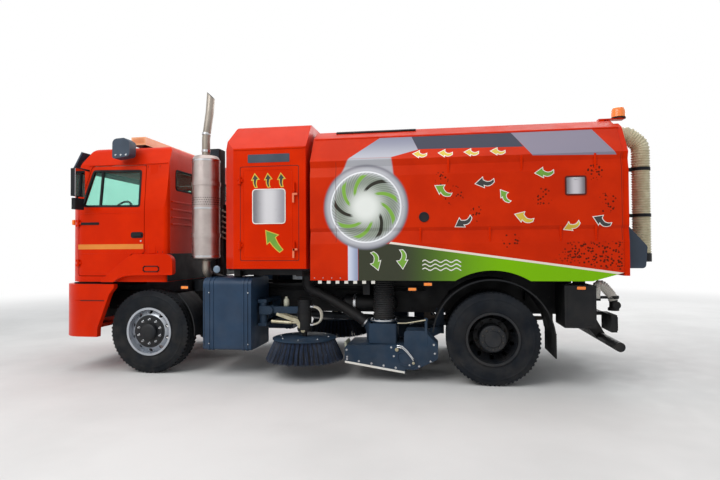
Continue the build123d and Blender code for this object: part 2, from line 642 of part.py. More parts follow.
def rear_boxes():
    """Left tool box behind the twin wheel."""
    box = block((AXLE_R + 770.0, AXLE_R + 1100.0), (-1200.0, -720.0), (660.0, 1125.0))
    box += block((AXLE_R + 860.0, AXLE_R + 940.0), (-725.0, -RAIL_OUTER_Y), (760.0, 860.0))
    return box


def body_subframe():
    """Sub-rails on the chassis rails, module bearers, hose flanges and tipping hinge pins."""
    inner = RAIL_OUTER_Y - RAIL_FLANGE
    half = block((MODULE_FRONT, RAIL_REAR - 50.0), (-RAIL_OUTER_Y, -inner), (RAIL_TOP, SUBRAIL_TOP))
    half += rod(TIP_PIN_RADIUS, (TIP_X, -RAIL_OUTER_Y + 10.0, TIP_Z), (TIP_X, -RAIL_OUTER_Y - 62.0, TIP_Z))
    x = (HOSE_X - 245.0, HOSE_X - 165.0)
    half += block(x, (-HOSE_Y - 60.0, -RAIL_OUTER_Y + 5.0), (990.0, 1075.0))
    half += block(x, (-HOSE_Y - 60.0, -HOSE_Y + 60.0), (1070.0, HOSE_TOP + 10.0))
    flange = block((x[0], HOSE_X + 175.0), (-HOSE_Y - 175.0, -HOSE_Y + 175.0), (HOSE_TOP, HOPPER_FLOOR - SEAT_GAP))
    flange -= rod(HOSE_RADIUS - HOSE_WALL, (HOSE_X, -HOSE_Y, HOSE_TOP - 1.0), (HOSE_X, -HOSE_Y, HOPPER_FLOOR))
    half += flange
    frame = both(half)
    for bearer in (MODULE_FRONT + 90.0, MODULE_REAR - 170.0):
        frame += block((bearer, bearer + 80.0), (-1100.0, 1100.0), (BEARER_BOTTOM, MODULE_BOTTOM))
        frame += both(block((bearer, bearer + 80.0), (-RAIL_OUTER_Y, -inner), (SUBRAIL_TOP, BEARER_BOTTOM)))
    return frame


# Fan module
def module_volume(inset):
    """Outer form of the module, or the same form moved in by a wall."""
    i = inset
    front = MODULE_FRONT + i
    rear = MODULE_REAR - i
    half = BODY_HALF_WIDTH - i
    low = MODULE_BOTTOM + i
    crown = BODY_HALF_WIDTH - MODULE_ROOF_INSET
    cross = cross_prism([
        (-half, low, 0), (half, low, 0), (half, MODULE_EAVE - i * 0.4, 30), (crown, MODULE_ROOF - i, 30),
        (-crown, MODULE_ROOF - i, 30), (-half, MODULE_EAVE - i * 0.4, 30)], (front, rear))
    side = side_prism([
        (front, low, 0), (rear, low, 0), (rear, MODULE_ROOF - i, 0), (front + 95.0, MODULE_ROOF - i, 40),
        (front, MODULE_EAVE, 30)], (-half, half))
    plan = plan_prism([
        (front, -half + MODULE_CHAMFER, 20), (front + MODULE_CHAMFER * 1.2, -half, 20), (rear, -half, 0),
        (rear, half, 0), (front + MODULE_CHAMFER * 1.2, half, 20), (front, half - MODULE_CHAMFER, 20)],
        (low, MODULE_ROOF - i))
    return cross & side & plan


MODULE_DOOR_X = (AXLE_F + 1245.0, AXLE_F + 1980.0)
MODULE_DOOR_Z = (1405.0, 2543.0)
MODULE_HINGE = (MODULE_DOOR_X[0] + 4.0, -BODY_HALF_WIDTH - 20.0)
MODULE_HINGE_Z = [1550.0, 2330.0]


def module_door_opening(gap):
    x = MODULE_DOOR_X
    z = MODULE_DOOR_Z
    return side_prism([(x[0] + gap, z[0] + gap, 20), (x[1] - gap, z[0] + gap, 20),
                       (x[1] - gap, z[1] - gap, 20), (x[0] + gap, z[1] - gap, 20)],
                      (-BODY_HALF_WIDTH - 20.0, -BODY_HALF_WIDTH + MODULE_WALL + 20.0))


def module_shell():
    shell = module_volume(0) - module_volume(MODULE_WALL)
    shell -= both(module_door_opening(0))
    x, y = MODULE_HINGE
    for z in MODULE_HINGE_Z:
        shell += both(fixed_hinge(MODULE_HINGE, z, (x - 34.0, x - 3.0), (y, -BODY_HALF_WIDTH + 3.0)))
    return shell


def module_door():
    wall = module_volume(0) - module_volume(MODULE_WALL)
    door = wall & module_door_opening(PANEL_GAP)
    for z in (MODULE_DOOR_Z[0] + 120.0, MODULE_DOOR_Z[1] - 320.0):
        x = MODULE_DOOR_X[1] - 70.0
        door += block((x, x + 24.0), (-BODY_HALF_WIDTH - 34.0, -BODY_HALF_WIDTH + 5.0), (z, z + 110.0))
    x, y = MODULE_HINGE
    for z in MODULE_HINGE_Z:
        door += moving_hinge(MODULE_HINGE, z, (x, x + 34.0), (y, -BODY_HALF_WIDTH + 3.0))
    return door


def module_engine():
    """Fan engine and fan casing, standing on the module's floor."""
    floor = MODULE_BOTTOM + MODULE_WALL
    x = MODULE_FRONT + 260.0
    body = block((x, x + 560.0), (-480.0, 480.0), (floor, floor + 760.0))
    fan = rod(330.0, (x + 280.0, -200.0, floor + 1080.0), (x + 280.0, 200.0, floor + 1080.0))
    return body + fan


# Hopper
def hopper_outline(inset):
    i = inset
    side = BODY_HALF_WIDTH - i
    half = [(side, HOPPER_SKIRT, 0)]
    for crease, deepest, edge in SWAGES:
        half.append((side, HOPPER_FOLD - crease, 0))
        half.append((side - SWAGE_DEPTH, HOPPER_FOLD - deepest, 0))
        half.append((side, HOPPER_FOLD - edge, 0))
    half.append((HOPPER_EAVE_Y - i * 0.7, HOPPER_EAVE - i * 0.5, 20))
    half.append((HOPPER_ROOF_Y, HOPPER_ROOF - i, 20))
    return symmetric(half)


def hopper_shell():
    outer = cross_prism(hopper_outline(0), (HOPPER_FRONT, HOPPER_REAR))
    w = HOPPER_WALL
    inner = cross_prism(hopper_outline(w), (HOPPER_FRONT + w, HOPPER_REAR + 1.0))
    inner &= block((HOPPER_FRONT, HOPPER_REAR + 1.0), (-BODY_HALF_WIDTH, BODY_HALF_WIDTH),
                   (HOPPER_FLOOR + w, HOPPER_ROOF))
    under = block((HOPPER_FRONT + w, HOPPER_REAR + 1.0), (-BODY_HALF_WIDTH + w, BODY_HALF_WIDTH - w),
                  (HOPPER_SKIRT - 1.0, HOPPER_FLOOR))
    shell = outer - inner - under
    arch = rod(ARCH_CUT_RADIUS, (AXLE_R, -BODY_HALF_WIDTH - 5.0, TYRE_RADIUS), (AXLE_R, -BODY_HALF_WIDTH + w + 5.0, TYRE_RADIUS))
    arch &= block((AXLE_R - 1000.0, AXLE_R + 1000.0), (-BODY_HALF_WIDTH - 5.0, 0), (0, HOPPER_FLOOR - 8.0))
    inlet = rod(HOSE_RADIUS - HOSE_WALL, (HOSE_X, -HOSE_Y, HOPPER_FLOOR - 1.0), (HOSE_X, -HOSE_Y, HOPPER_FLOOR + w + 1.0))
    chamfer = side_prism([(TIP_X - 50.0, HOPPER_SKIRT - 1.0, 0), (HOPPER_REAR + 1.0, HOPPER_SKIRT - 1.0, 0),
                          (HOPPER_REAR + 1.0, HOPPER_SKIRT + 95.0, 0)],
                         (-BODY_HALF_WIDTH - 5.0, -BODY_HALF_WIDTH + w + 5.0))
    shell -= both(arch + inlet + chamfer)
    inner_y = RAIL_OUTER_Y - RAIL_FLANGE
    runner = block((HOPPER_FRONT + 60.0, TIP_X - 110.0), (-RAIL_OUTER_Y, -inner_y),
                   (SUBRAIL_TOP + SEAT_GAP, HOPPER_FLOOR))
    ear_y = (-RAIL_OUTER_Y - 50.0, -RAIL_OUTER_Y - 2.0)
    ear = block((TIP_X - 70.0, TIP_X + 70.0), ear_y, (TIP_Z, HOPPER_FLOOR))
    ear += rod(70.0, (TIP_X, ear_y[0], TIP_Z), (TIP_X, ear_y[1], TIP_Z))
    ear -= rod(TIP_PIN_RADIUS + PIN_GAP, (TIP_X, ear_y[0] - 1.0, TIP_Z), (TIP_X, ear_y[1] + 1.0, TIP_Z))
    eye_y = (ROD_EYE_HALF + SEAT_GAP, ROD_EYE_HALF + 24.0)
    eye = block((CYL_EYE_X - 55.0, CYL_EYE_X + 55.0), eye_y, (CYL_EYE_Z - 50.0, HOPPER_FLOOR))
    lug = Part()
    for y in GATE_HINGES:
        for ear_gap in (-GATE_TAB_HALF - 22.0, GATE_TAB_HALF + 2.0):
            lug += block((HOPPER_REAR - 100.0, GATE_HINGE_X + 20.0), (-y + ear_gap, -y + ear_gap + 20.0),
                         (GATE_HINGE_Z - 20.0, GATE_HINGE_Z + 35.0))
        lug += rod(GATE_PIN_RADIUS, (GATE_HINGE_X, -y - GATE_TAB_HALF - 20.0, GATE_HINGE_Z),
                   (GATE_HINGE_X, -y + GATE_TAB_HALF + 20.0, GATE_HINGE_Z))
    return shell + both(runner + ear + eye + lug)


ROD_EYE_HALF = 30.0
ROD_NECK = 170.0
ROD_NECK_RADIUS = 26.0
GATE_HINGES = [620.0]
GATE_TAB_HALF = 25.0
GATE_TAB_RADIUS = 23.0


def tailgate():
    """Rear door of the hopper with its lower trough, hinged along the top."""
    x = (HOPPER_REAR + GATE_GAP, HOPPER_REAR + GATE_GAP + GATE_THICKNESS)
    plate = cross_prism(hopper_outline(6.0), x)
    plate &= block(x, (-BODY_HALF_WIDTH, BODY_HALF_WIDTH), (HOPPER_SKIRT + 60.0, GATE_HINGE_Z - 38.0))
    trough = side_prism([(x[1] - 2.0, 1830.0, 0), (AXLE_R + 1670.0, 1550.0, 40), (AXLE_R + 1650.0, 1310.0, 40),
                         (x[1] - 2.0, 1310.0, 0)], (-1080.0, 1080.0))
    gate = plate + trough
    tabs = Part()
    for y in GATE_HINGES:
        tab_y = (-y - GATE_TAB_HALF, -y + GATE_TAB_HALF)
        tabs += block((GATE_HINGE_X - 20.0, x[1]), tab_y, (GATE_HINGE_Z - 60.0, GATE_HINGE_Z))
        tabs += rod(GATE_TAB_RADIUS, (GATE_HINGE_X, tab_y[0], GATE_HINGE_Z), (GATE_HINGE_X, tab_y[1], GATE_HINGE_Z))
        tabs -= rod(GATE_PIN_RADIUS + PIN_GAP, (GATE_HINGE_X, tab_y[0] - 1.0, GATE_HINGE_Z),
                    (GATE_HINGE_X, tab_y[1] + 1.0, GATE_HINGE_Z))
    return gate + both(tabs)


WANDER_RADIUS = 105.0
WANDER_X = AXLE_R + REAR_OVERHANG - WANDER_RADIUS
WANDER_Y = -550.0


def wander_hose():
    """Hand suction hose stowed upright on the tailgate, held by two brackets."""
    plate = HOPPER_REAR + GATE_GAP + GATE_THICKNESS
    top = 2960.0
    route = FilletPolyline((plate + SEAT_GAP, WANDER_Y, top - 160.0), (plate + 190.0, WANDER_Y, top - 60.0),
                           (WANDER_X, WANDER_Y, top - 200.0), (WANDER_X, WANDER_Y, 1370.0), radius=[120.0, 200.0])
    start = Plane(origin=route @ 0, z_dir=route % 0)
    hose = sweep(start * Circle(WANDER_RADIUS), path=route)
    hose &= block((plate + SEAT_GAP, WANDER_X + 300.0), (WANDER_Y - 300.0, WANDER_Y + 300.0), (1300.0, 3200.0))
    for z in (1900.0, 2450.0):
        hose += block((plate + SEAT_GAP, WANDER_X), (WANDER_Y - 30.0, WANDER_Y + 30.0), (z, z + 40.0))
    return hose


def rear_beacon():
    """Warning beacon on a bracket from the hopper's roof corner."""
    x = HOPPER_REAR + 100.0
    y = (-HOPPER_ROOF_Y + 25.0, -HOPPER_ROOF_Y + 115.0)
    z = HOPPER_ROOF + 34.0
    plate = block((HOPPER_REAR - 120.0, x + 60.0), y, (z - 12.0, z))
    plate += block((HOPPER_REAR - 120.0, HOPPER_REAR - 60.0), y, (HOPPER_ROOF, z - 4.0))
    dome = upright([(0, z), (62.0, z), (62.0, z + 76.0), (40.0, z + 116.0), (0, z + 121.0)], (x, (y[0] + y[1]) / 2))
    return both(plate + dome)


# Tipping cylinder
def eye_direction():
    return Vector(CYL_EYE_X - CYL_BASE_X, 0, CYL_EYE_Z - CYL_BASE_Z)


def tip_barrel():
    base = Vector(CYL_BASE_X, 0, CYL_BASE_Z)
    way = eye_direction()
    unit = way.normalized()
    y = BARREL_EYE_HALF
    eye = rod(42.0, (base.X, -y, base.Z), (base.X, y, base.Z))
    start = base + unit * 30.0
    end = base + unit * (way.length - ROD_NECK - 20.0)
    body = rod(BARREL_RADIUS, tuple(base + unit * 70.0), tuple(end)) + rod(38.0, tuple(start), tuple(base + unit * 75.0))
    bore = rod(ROD_RADIUS + PIN_GAP, tuple(base + unit * 90.0), tuple(end + unit * 5.0))
    pin = rod(CYL_PIN_RADIUS + PIN_GAP, (base.X, -y - 1.0, base.Z), (base.X, y + 1.0, base.Z))
    return body + eye - bore - pin


def tip_rod():
    base = Vector(CYL_BASE_X, 0, CYL_BASE_Z)
    way = eye_direction()
    unit = way.normalized()
    tip = base + way
    shaft = rod(ROD_RADIUS, tuple(base + unit * 92.0), tuple(tip - unit * ROD_NECK))
    shaft += rod(ROD_NECK_RADIUS, tuple(tip - unit * (ROD_NECK + 10.0)), tuple(tip))
    eye = rod(40.0, (tip.X, -ROD_EYE_HALF, tip.Z), (tip.X, ROD_EYE_HALF, tip.Z))
    return shaft + eye


# Cab
def cab_volume(inset):
    """Outer form of the cab, or the same form moved in by a wall."""
    i = inset
    half = CAB_HALF_WIDTH - i
    low = CAB_BOTTOM + i
    top = CAB_ROOF - i
    front = CAB_FRONT + i
    rear = CAB_REAR - i
    side = side_prism([
        (front + 20.0, low, 30), (front + 10.0, CAB_BELT - 20.0, 60), (front + 200.0, CAB_ROOF - 200.0 - i * 0.3, 80),
        (front + 330.0, top, 130), (rear, top, 80), (rear, low, 0)], (-half, half))
    cross = cross_prism([
        (-half, low, 0), (half, low, 0), (half, CAB_BELT, 200), (half - 60.0, CAB_ROOF - 220.0, 60),
        (half - 150.0, top, 90), (-half + 150.0, top, 90), (-half + 60.0, CAB_ROOF - 220.0, 60), (-half, CAB_BELT, 200)],
        (front, rear))
    plan = plan_prism([
        (front + 45.0, -half, 240 - i), (front, -half * 0.43, 900), (front, half * 0.43, 900), (front + 45.0, half, 240 - i),
        (rear, half, 60), (rear, -half, 60)], (low, top))
    return side & cross & plan


DOOR_BOTTOM = 1215.0
DOOR_FRONT = AXLE_F - 985.0
DOOR_REAR = AXLE_F - 55.0
DOOR_TOP = CAB_ROOF - 245.0
DOOR_HINGE = (AXLE_F - 975.0, -CAB_HALF_WIDTH - 10.0)
DOOR_HINGE_Z = [1340.0, 1850.0]


def door_outline(gap):
    g = gap
    return [
        (DOOR_FRONT + g, DOOR_BOTTOM + g, 30), (AXLE_F - 570.0 - g * 0.4, DOOR_BOTTOM + g, 20),
        (AXLE_F - 215.0 - g * 0.4, 1500.0 + g, 60), (DOOR_REAR - g, 1500.0 + g, 20), (DOOR_REAR - g, DOOR_TOP - g, 40),
        (DOOR_FRONT + 160.0 + g, DOOR_TOP - g, 40), (DOOR_FRONT + g, CAB_BELT + 40.0, 80)]


WINDOW_SIDE = [
    (AXLE_F - 930.0, CAB_BELT + 52.0, 25), (AXLE_F - 128.0, CAB_BELT + 40.0, 25), (AXLE_F - 128.0, DOOR_TOP - 75.0, 25),
    (AXLE_F - 795.0, DOOR_TOP - 60.0, 25)]
WINDSCREEN_HALF = CAB_HALF_WIDTH - 170.0
REAR_WINDOW = (430.0, 940.0, CAB_ROOF - 545.0, CAB_ROOF - 315.0)
SIDE_CUT = (-CAB_HALF_WIDTH - 40.0, -CAB_HALF_WIDTH + 240.0)


def shrunk(corners, gap):
    """The same outline with a small gap all round."""
    cx = sum(a for a, _, _ in corners) / len(corners)
    cz = sum(b for _, b, _ in corners) / len(corners)
    return [(a - gap if a > cx else a + gap, b - gap if b > cz else b + gap, r) for a, b, r in corners]


def windscreen_corners():
    h = WINDSCREEN_HALF
    low = CAB_BELT + 40.0
    high = CAB_ROOF - 255.0
    return [(-h, low, 60), (h, low, 60), (h - 50.0, high, 60), (-h + 50.0, high, 60)]


def rear_window_corners(side):
    y0, y1, z0, z1 = REAR_WINDOW
    return [(side * y0, z0, 30), (side * y1, z0, 30), (side * y1, z1, 30), (side * y0, z1, 30)]


def cab_shell():
    shell = cab_volume(0) - cab_volume(CAB_WALL)
    shell -= both(side_prism(door_outline(0), SIDE_CUT))
    shell -= cross_prism(windscreen_corners(), (CAB_FRONT - 50.0, CAB_FRONT + 420.0))
    for side in (-1, 1):
        shell -= cross_prism(rear_window_corners(side), (CAB_REAR - CAB_WALL - 20.0, CAB_REAR + 20.0))
    lug = block((CAB_HINGE_X - 35.0, CAB_HINGE_X + 35.0), (-420.0, -370.0), (CAB_BOTTOM - 45.0, CAB_BOTTOM + 30.0))
    lug -= rod(CAB_PIN_RADIUS + PIN_GAP, (CAB_HINGE_X, -430.0, CAB_HINGE_Z), (CAB_HINGE_X, -360.0, CAB_HINGE_Z))
    x, y = DOOR_HINGE
    for z in DOOR_HINGE_Z:
        lug += fixed_hinge(DOOR_HINGE, z, (x - 37.0, x - 8.0), (y, y + 42.0))
    return shell + both(lug)


CAB_PIN_RADIUS = 14.0
CAB_HINGE_Z = 1122.0


def cab_mounts():
    """Front hinge brackets and rear cradle that carry the cab on the rails."""
    y = (-RAIL_OUTER_Y + RAIL_FLANGE, -RAIL_OUTER_Y + RAIL_FLANGE + 14.0)
    eye = CAB_PIN_RADIUS + 3.0
    bracket = block((CAB_HINGE_X - eye, CAB_HINGE_X + 35.0), y, (RAIL_TOP - 5.0, CAB_HINGE_Z))
    bracket += rod(eye, (CAB_HINGE_X, y[0], CAB_HINGE_Z), (CAB_HINGE_X, y[1], CAB_HINGE_Z))
    bracket += block((CAB_HINGE_X + 5.0, RAIL_FRONT + 50.0), y, (RAIL_TOP - 60.0, RAIL_TOP + 40.0))
    bracket += block((RAIL_FRONT, RAIL_FRONT + 50.0), (-RAIL_OUTER_Y, y[1]), (RAIL_TOP, RAIL_TOP + 40.0))
    bracket += rod(CAB_PIN_RADIUS, (CAB_HINGE_X, -425.0, CAB_HINGE_Z), (CAB_HINGE_X, y[1], CAB_HINGE_Z))
    cradle = block((CAB_REAR - 110.0, CAB_REAR - 50.0), (-RAIL_OUTER_Y, RAIL_OUTER_Y), (1122.0, CAB_BOTTOM - SEAT_GAP))
    post = block((CAB_REAR - 110.0, CAB_REAR - 50.0), (-RAIL_OUTER_Y, -RAIL_OUTER_Y + RAIL_FLANGE), (RAIL_TOP, 1125.0))
    return both(bracket) + cradle + both(post)


def glass_skin():
    return cab_volume(GLASS_INSET) - cab_volume(GLASS_INSET + GLASS_THICKNESS)


def cab_glass():
    skin = glass_skin()
    front = skin & cross_prism(shrunk(windscreen_corners(), SEAT_GAP), (CAB_FRONT - 50.0, CAB_FRONT + 420.0))
    rear = Part()
    for side in (-1, 1):
        rear += skin & cross_prism(shrunk(rear_window_corners(side), SEAT_GAP), (CAB_REAR - CAB_WALL, CAB_REAR))
    return front + rear


def cab_door():
    wall = cab_volume(0) - cab_volume(CAB_WALL)
    door = wall & side_prism(door_outline(PANEL_GAP), SIDE_CUT)
    door -= side_prism(WINDOW_SIDE, SIDE_CUT)
    handle = block((AXLE_F - 215.0, AXLE_F - 85.0), (-CAB_HALF_WIDTH - 28.0, -CAB_HALF_WIDTH - 14.0), (1722.0, 1750.0))
    for x in (AXLE_F - 210.0, AXLE_F - 110.0):
        handle += block((x, x + 20.0), (-CAB_HALF_WIDTH - 20.0, -CAB_HALF_WIDTH + 5.0), (1725.0, 1747.0))
    x, y = DOOR_HINGE
    for z in DOOR_HINGE_Z:
        handle += moving_hinge(DOOR_HINGE, z, (x, x + 36.0), (y, y + 28.0))
    return door + handle


def door_glass():
    return glass_skin() & side_prism(shrunk(WINDOW_SIDE, SEAT_GAP), SIDE_CUT)


def cab_arch():
    """Left wheel-arch flare on the cab's lower edge."""
    outline = [
        (AXLE_F - 625.0, CAB_BOTTOM, 0), (AXLE_F - 590.0, CAB_BOTTOM + 30.0, 10), (AXLE_F - 165.0, 1474.0, 60),
        (AXLE_F + 300.0, 1490.0, 30), (AXLE_F + 345.0, 1420.0, 20), (AXLE_F + 350.0, 1226.0, 10),
        (AXLE_F - 295.0, 1214.0, 30), (AXLE_F - 360.0, CAB_BOTTOM, 0)]
    y = (-BODY_HALF_WIDTH, -CAB_HALF_WIDTH - SEAT_GAP)
    return side_prism(outline, y)


def front_grille():
    """Grille panel with slats on the cab's front face."""
    x = CAB_FRONT
    panel = block((x - 22.0, x + 40.0), (-760.0, 760.0), (1290.0, 1660.0))
    for step in range(5):
        z = 1325.0 + 65.0 * step
        panel -= block((x - 23.0, x - 6.0), (-720.0, 720.0), (z, z + 40.0))
    keep = cab_volume(-22.0) - cab_volume(-SEAT_GAP)
    return panel & keep


def sun_visor():
    """Dark visor over the windscreen, on two arms."""
    x = CAB_FRONT
    z = CAB_ROOF
    y = CAB_HALF_WIDTH - 90.0
    blade = side_prism([(x + 35.0, z - 280.0, 0), (x + 50.0, z - 290.0, 0), (x + 190.0, z - 50.0, 0),
                        (x + 170.0, z - 42.0, 0)], (-y, y))
    arm = side_prism([(x + 120.0, z - 160.0, 0), (x + 340.0, z - 175.0, 0), (x + 340.0, z - 145.0, 0),
                      (x + 140.0, z - 128.0, 0)], (-y + 80.0, -y + 120.0))
    return blade + (both(arm) - cab_volume(-SEAT_GAP))


def roof_light_bar():
    bar = block((AXLE_F - 380.0, AXLE_F - 180.0), (-950.0, 950.0), (CAB_ROOF + 45.0, CAB_ROOF + 150.0))
    feet = Part()
    for y in (-800.0, 760.0):
        feet += block((AXLE_F - 310.0, AXLE_F - 250.0), (y, y + 40.0), (CAB_ROOF - 20.0, CAB_ROOF + 50.0))
    return bar + feet - cab_volume(-SEAT_GAP)


def kerb_mirror():
    z = CAB_ROOF
    y = CAB_HALF_WIDTH
    shell = side_prism([(AXLE_F - 425.0, z - 190.0, 30), (AXLE_F - 190.0, z - 160.0, 40), (AXLE_F - 185.0, z + 20.0, 50),
                        (AXLE_F - 260.0, z + 70.0, 50), (AXLE_F - 420.0, z + 60.0, 60)], (-y - 120.0, -y + 20.0))
    arm = block((AXLE_F - 330.0, AXLE_F - 290.0), (-y + 10.0, -y + 270.0), (z - 60.0, z - 30.0))
    return both(shell + (arm - cab_volume(-SEAT_GAP)))


def cab_seats():
    seats = Part()
    floor = CAB_BOTTOM + CAB_WALL
    for y in (-560.0, 560.0):
        seats += block((AXLE_F - 520.0, AXLE_F - 80.0), (y - 230.0, y + 230.0), (floor + 330.0, floor + 460.0))
        seats += side_prism([(AXLE_F - 110.0, floor + 440.0, 20), (AXLE_F - 10.0, floor + 440.0, 20),
                             (AXLE_F + 90.0, floor + 1130.0, 40), (AXLE_F - 10.0, floor + 1130.0, 40)],
                            (y - 230.0, y + 230.0))
        seats += block((AXLE_F - 430.0, AXLE_F - 150.0), (y - 150.0, y + 150.0), (floor, floor + 335.0))
    return seats


DESK_SIDE_GAP = 135.0


def dashboard():
    """Dashboard, short enough at both ends for the doors' front edges to swing past it."""
    wall = CAB_FRONT + CAB_WALL
    half = CAB_HALF_WIDTH - DESK_SIDE_GAP
    desk = side_prism([(wall + 40.0, 1640.0, 0), (wall + 330.0, 1700.0, 40), (wall + 300.0, 1960.0, 60),
                       (wall + 40.0, 2010.0, 0)], (-half, half))
    desk &= cab_volume(CAB_WALL + SEAT_GAP)
    wheel_c = (AXLE_F - 640.0, -560.0, 2010.0)
    lean = Plane(origin=wheel_c, z_dir=(0.42, 0, 0.9))
    wheel = lean * Torus(215.0, 15.0) + lean * Pos(0, 0, -20.0) * Cylinder(45.0, 40.0) \
        + lean * Box(420.0, 30.0, 12.0)
    column = rod(26.0, (AXLE_F - 660.0, -560.0, 1975.0), (AXLE_F - 800.0, -560.0, 1740.0))
    return desk + wheel + column


def mirrors():
    """Left main and wide-angle mirrors on one arm from the door's front edge."""
    y = -CAB_HALF_WIDTH - 165.0
    z = CAB_BELT
    main = plan_prism([(AXLE_F - 905.0, y - 95.0, 30), (AXLE_F - 905.0, y + 95.0, 30), (AXLE_F - 830.0, y + 95.0, 12),
                       (AXLE_F - 830.0, y - 95.0, 12)], (z + 165.0, z + 507.0))
    small = plan_prism([(AXLE_F - 900.0, y - 85.0, 30), (AXLE_F - 900.0, y + 85.0, 30), (AXLE_F - 835.0, y + 85.0, 12),
                        (AXLE_F - 835.0, y - 85.0, 12)], (z, z + 140.0))
    arm = Part()
    for height in (z + 60.0, z + 520.0):
        arm += rod(12.0, (AXLE_F - 870.0, y, height), (AXLE_F - 870.0, -CAB_HALF_WIDTH + 70.0, height))
    stalk = rod(13.0, (AXLE_F - 870.0, y, z + 20.0), (AXLE_F - 870.0, y, z + 532.0))
    arm -= cab_volume(-SEAT_GAP)
    return main + small + arm + stalk


# Sweeping gear, left side
def broom_mount():
    x = (BROOM_PIVOT_X - 55.0, BROOM_PIVOT_X + 55.0)
    y = (-BROOM_Y - 50.0, -RAIL_OUTER_Y)
    mount = block(x, y, (885.0, 925.0)) + block(x, y, (595.0, 635.0))
    mount += block(x, (-RAIL_OUTER_Y - 40.0, -RAIL_OUTER_Y), (595.0, 925.0))
    return mount + rod(BROOM_PIVOT_RADIUS, (BROOM_PIVOT_X, -BROOM_Y, 600.0), (BROOM_PIVOT_X, -BROOM_Y, 920.0))


def broom_bracket():
    centre = (BROOM_PIVOT_X, -BROOM_Y)
    post = rod(48.0, (*centre, 635.0 + SEAT_GAP), (*centre, 883.0))
    ears = Part()
    for y in (-BROOM_Y - 72.0, -BROOM_Y + 42.0):
        ears += block((BROOM_PIVOT_X, BROOM_LIFT_X), (y, y + 30.0), (BROOM_LIFT_Z - 50.0, BROOM_LIFT_Z + 50.0))
        ears += rod(50.0, (BROOM_LIFT_X, y, BROOM_LIFT_Z), (BROOM_LIFT_X, y + 30.0, BROOM_LIFT_Z))
    ears += block((BROOM_PIVOT_X - 30.0, BROOM_PIVOT_X + 35.0), (-BROOM_Y - 72.0, -BROOM_Y + 72.0),
                  (BROOM_LIFT_Z - 50.0, BROOM_LIFT_Z + 50.0))
    pin = rod(18.0, (BROOM_LIFT_X, -BROOM_Y - 72.0, BROOM_LIFT_Z), (BROOM_LIFT_X, -BROOM_Y + 72.0, BROOM_LIFT_Z))
    bore = rod(BROOM_PIVOT_RADIUS + PIN_GAP, (*centre, 630.0), (*centre, 890.0))
    return post + ears + pin - bore


def broom_arm():
    y = -BROOM_Y
    eye = rod(40.0, (BROOM_LIFT_X, y - 40.0, BROOM_LIFT_Z), (BROOM_LIFT_X, y + 40.0, BROOM_LIFT_Z))
    beam = block((BROOM_LIFT_X + 20.0, BROOM_X - 60.0), (y - 35.0, y + 35.0), (BROOM_LIFT_Z - 38.0, BROOM_LIFT_Z + 42.0))
    motor = rod(85.0, (BROOM_X, y, BROOM_DISC_TOP + 60.0), (BROOM_X, y, 925.0))
    axle = rod(30.0, (BROOM_X, y, BROOM_DISC_TOP + SEAT_GAP), (BROOM_X, y, BROOM_DISC_TOP + 65.0))
    bore = rod(18.0 + PIN_GAP, (BROOM_LIFT_X, y - 41.0, BROOM_LIFT_Z), (BROOM_LIFT_X, y + 41.0, BROOM_LIFT_Z))
    return eye + beam + motor + axle - bore


def broom_brush():
    r = BROOM_DISC_RADIUS
    return upright([(0, BROOM_DISC_BOTTOM), (r - 110.0, BROOM_DISC_BOTTOM), (BRISTLE_RADIUS - 90.0, BRISTLE_BOTTOM),
                    (BRISTLE_RADIUS, BRISTLE_BOTTOM), (r, BROOM_DISC_BOTTOM), (r, BROOM_DISC_TOP - 6.0),
                    (r - 40.0, BROOM_DISC_TOP), (0, BROOM_DISC_TOP)], (BROOM_X, -BROOM_Y))


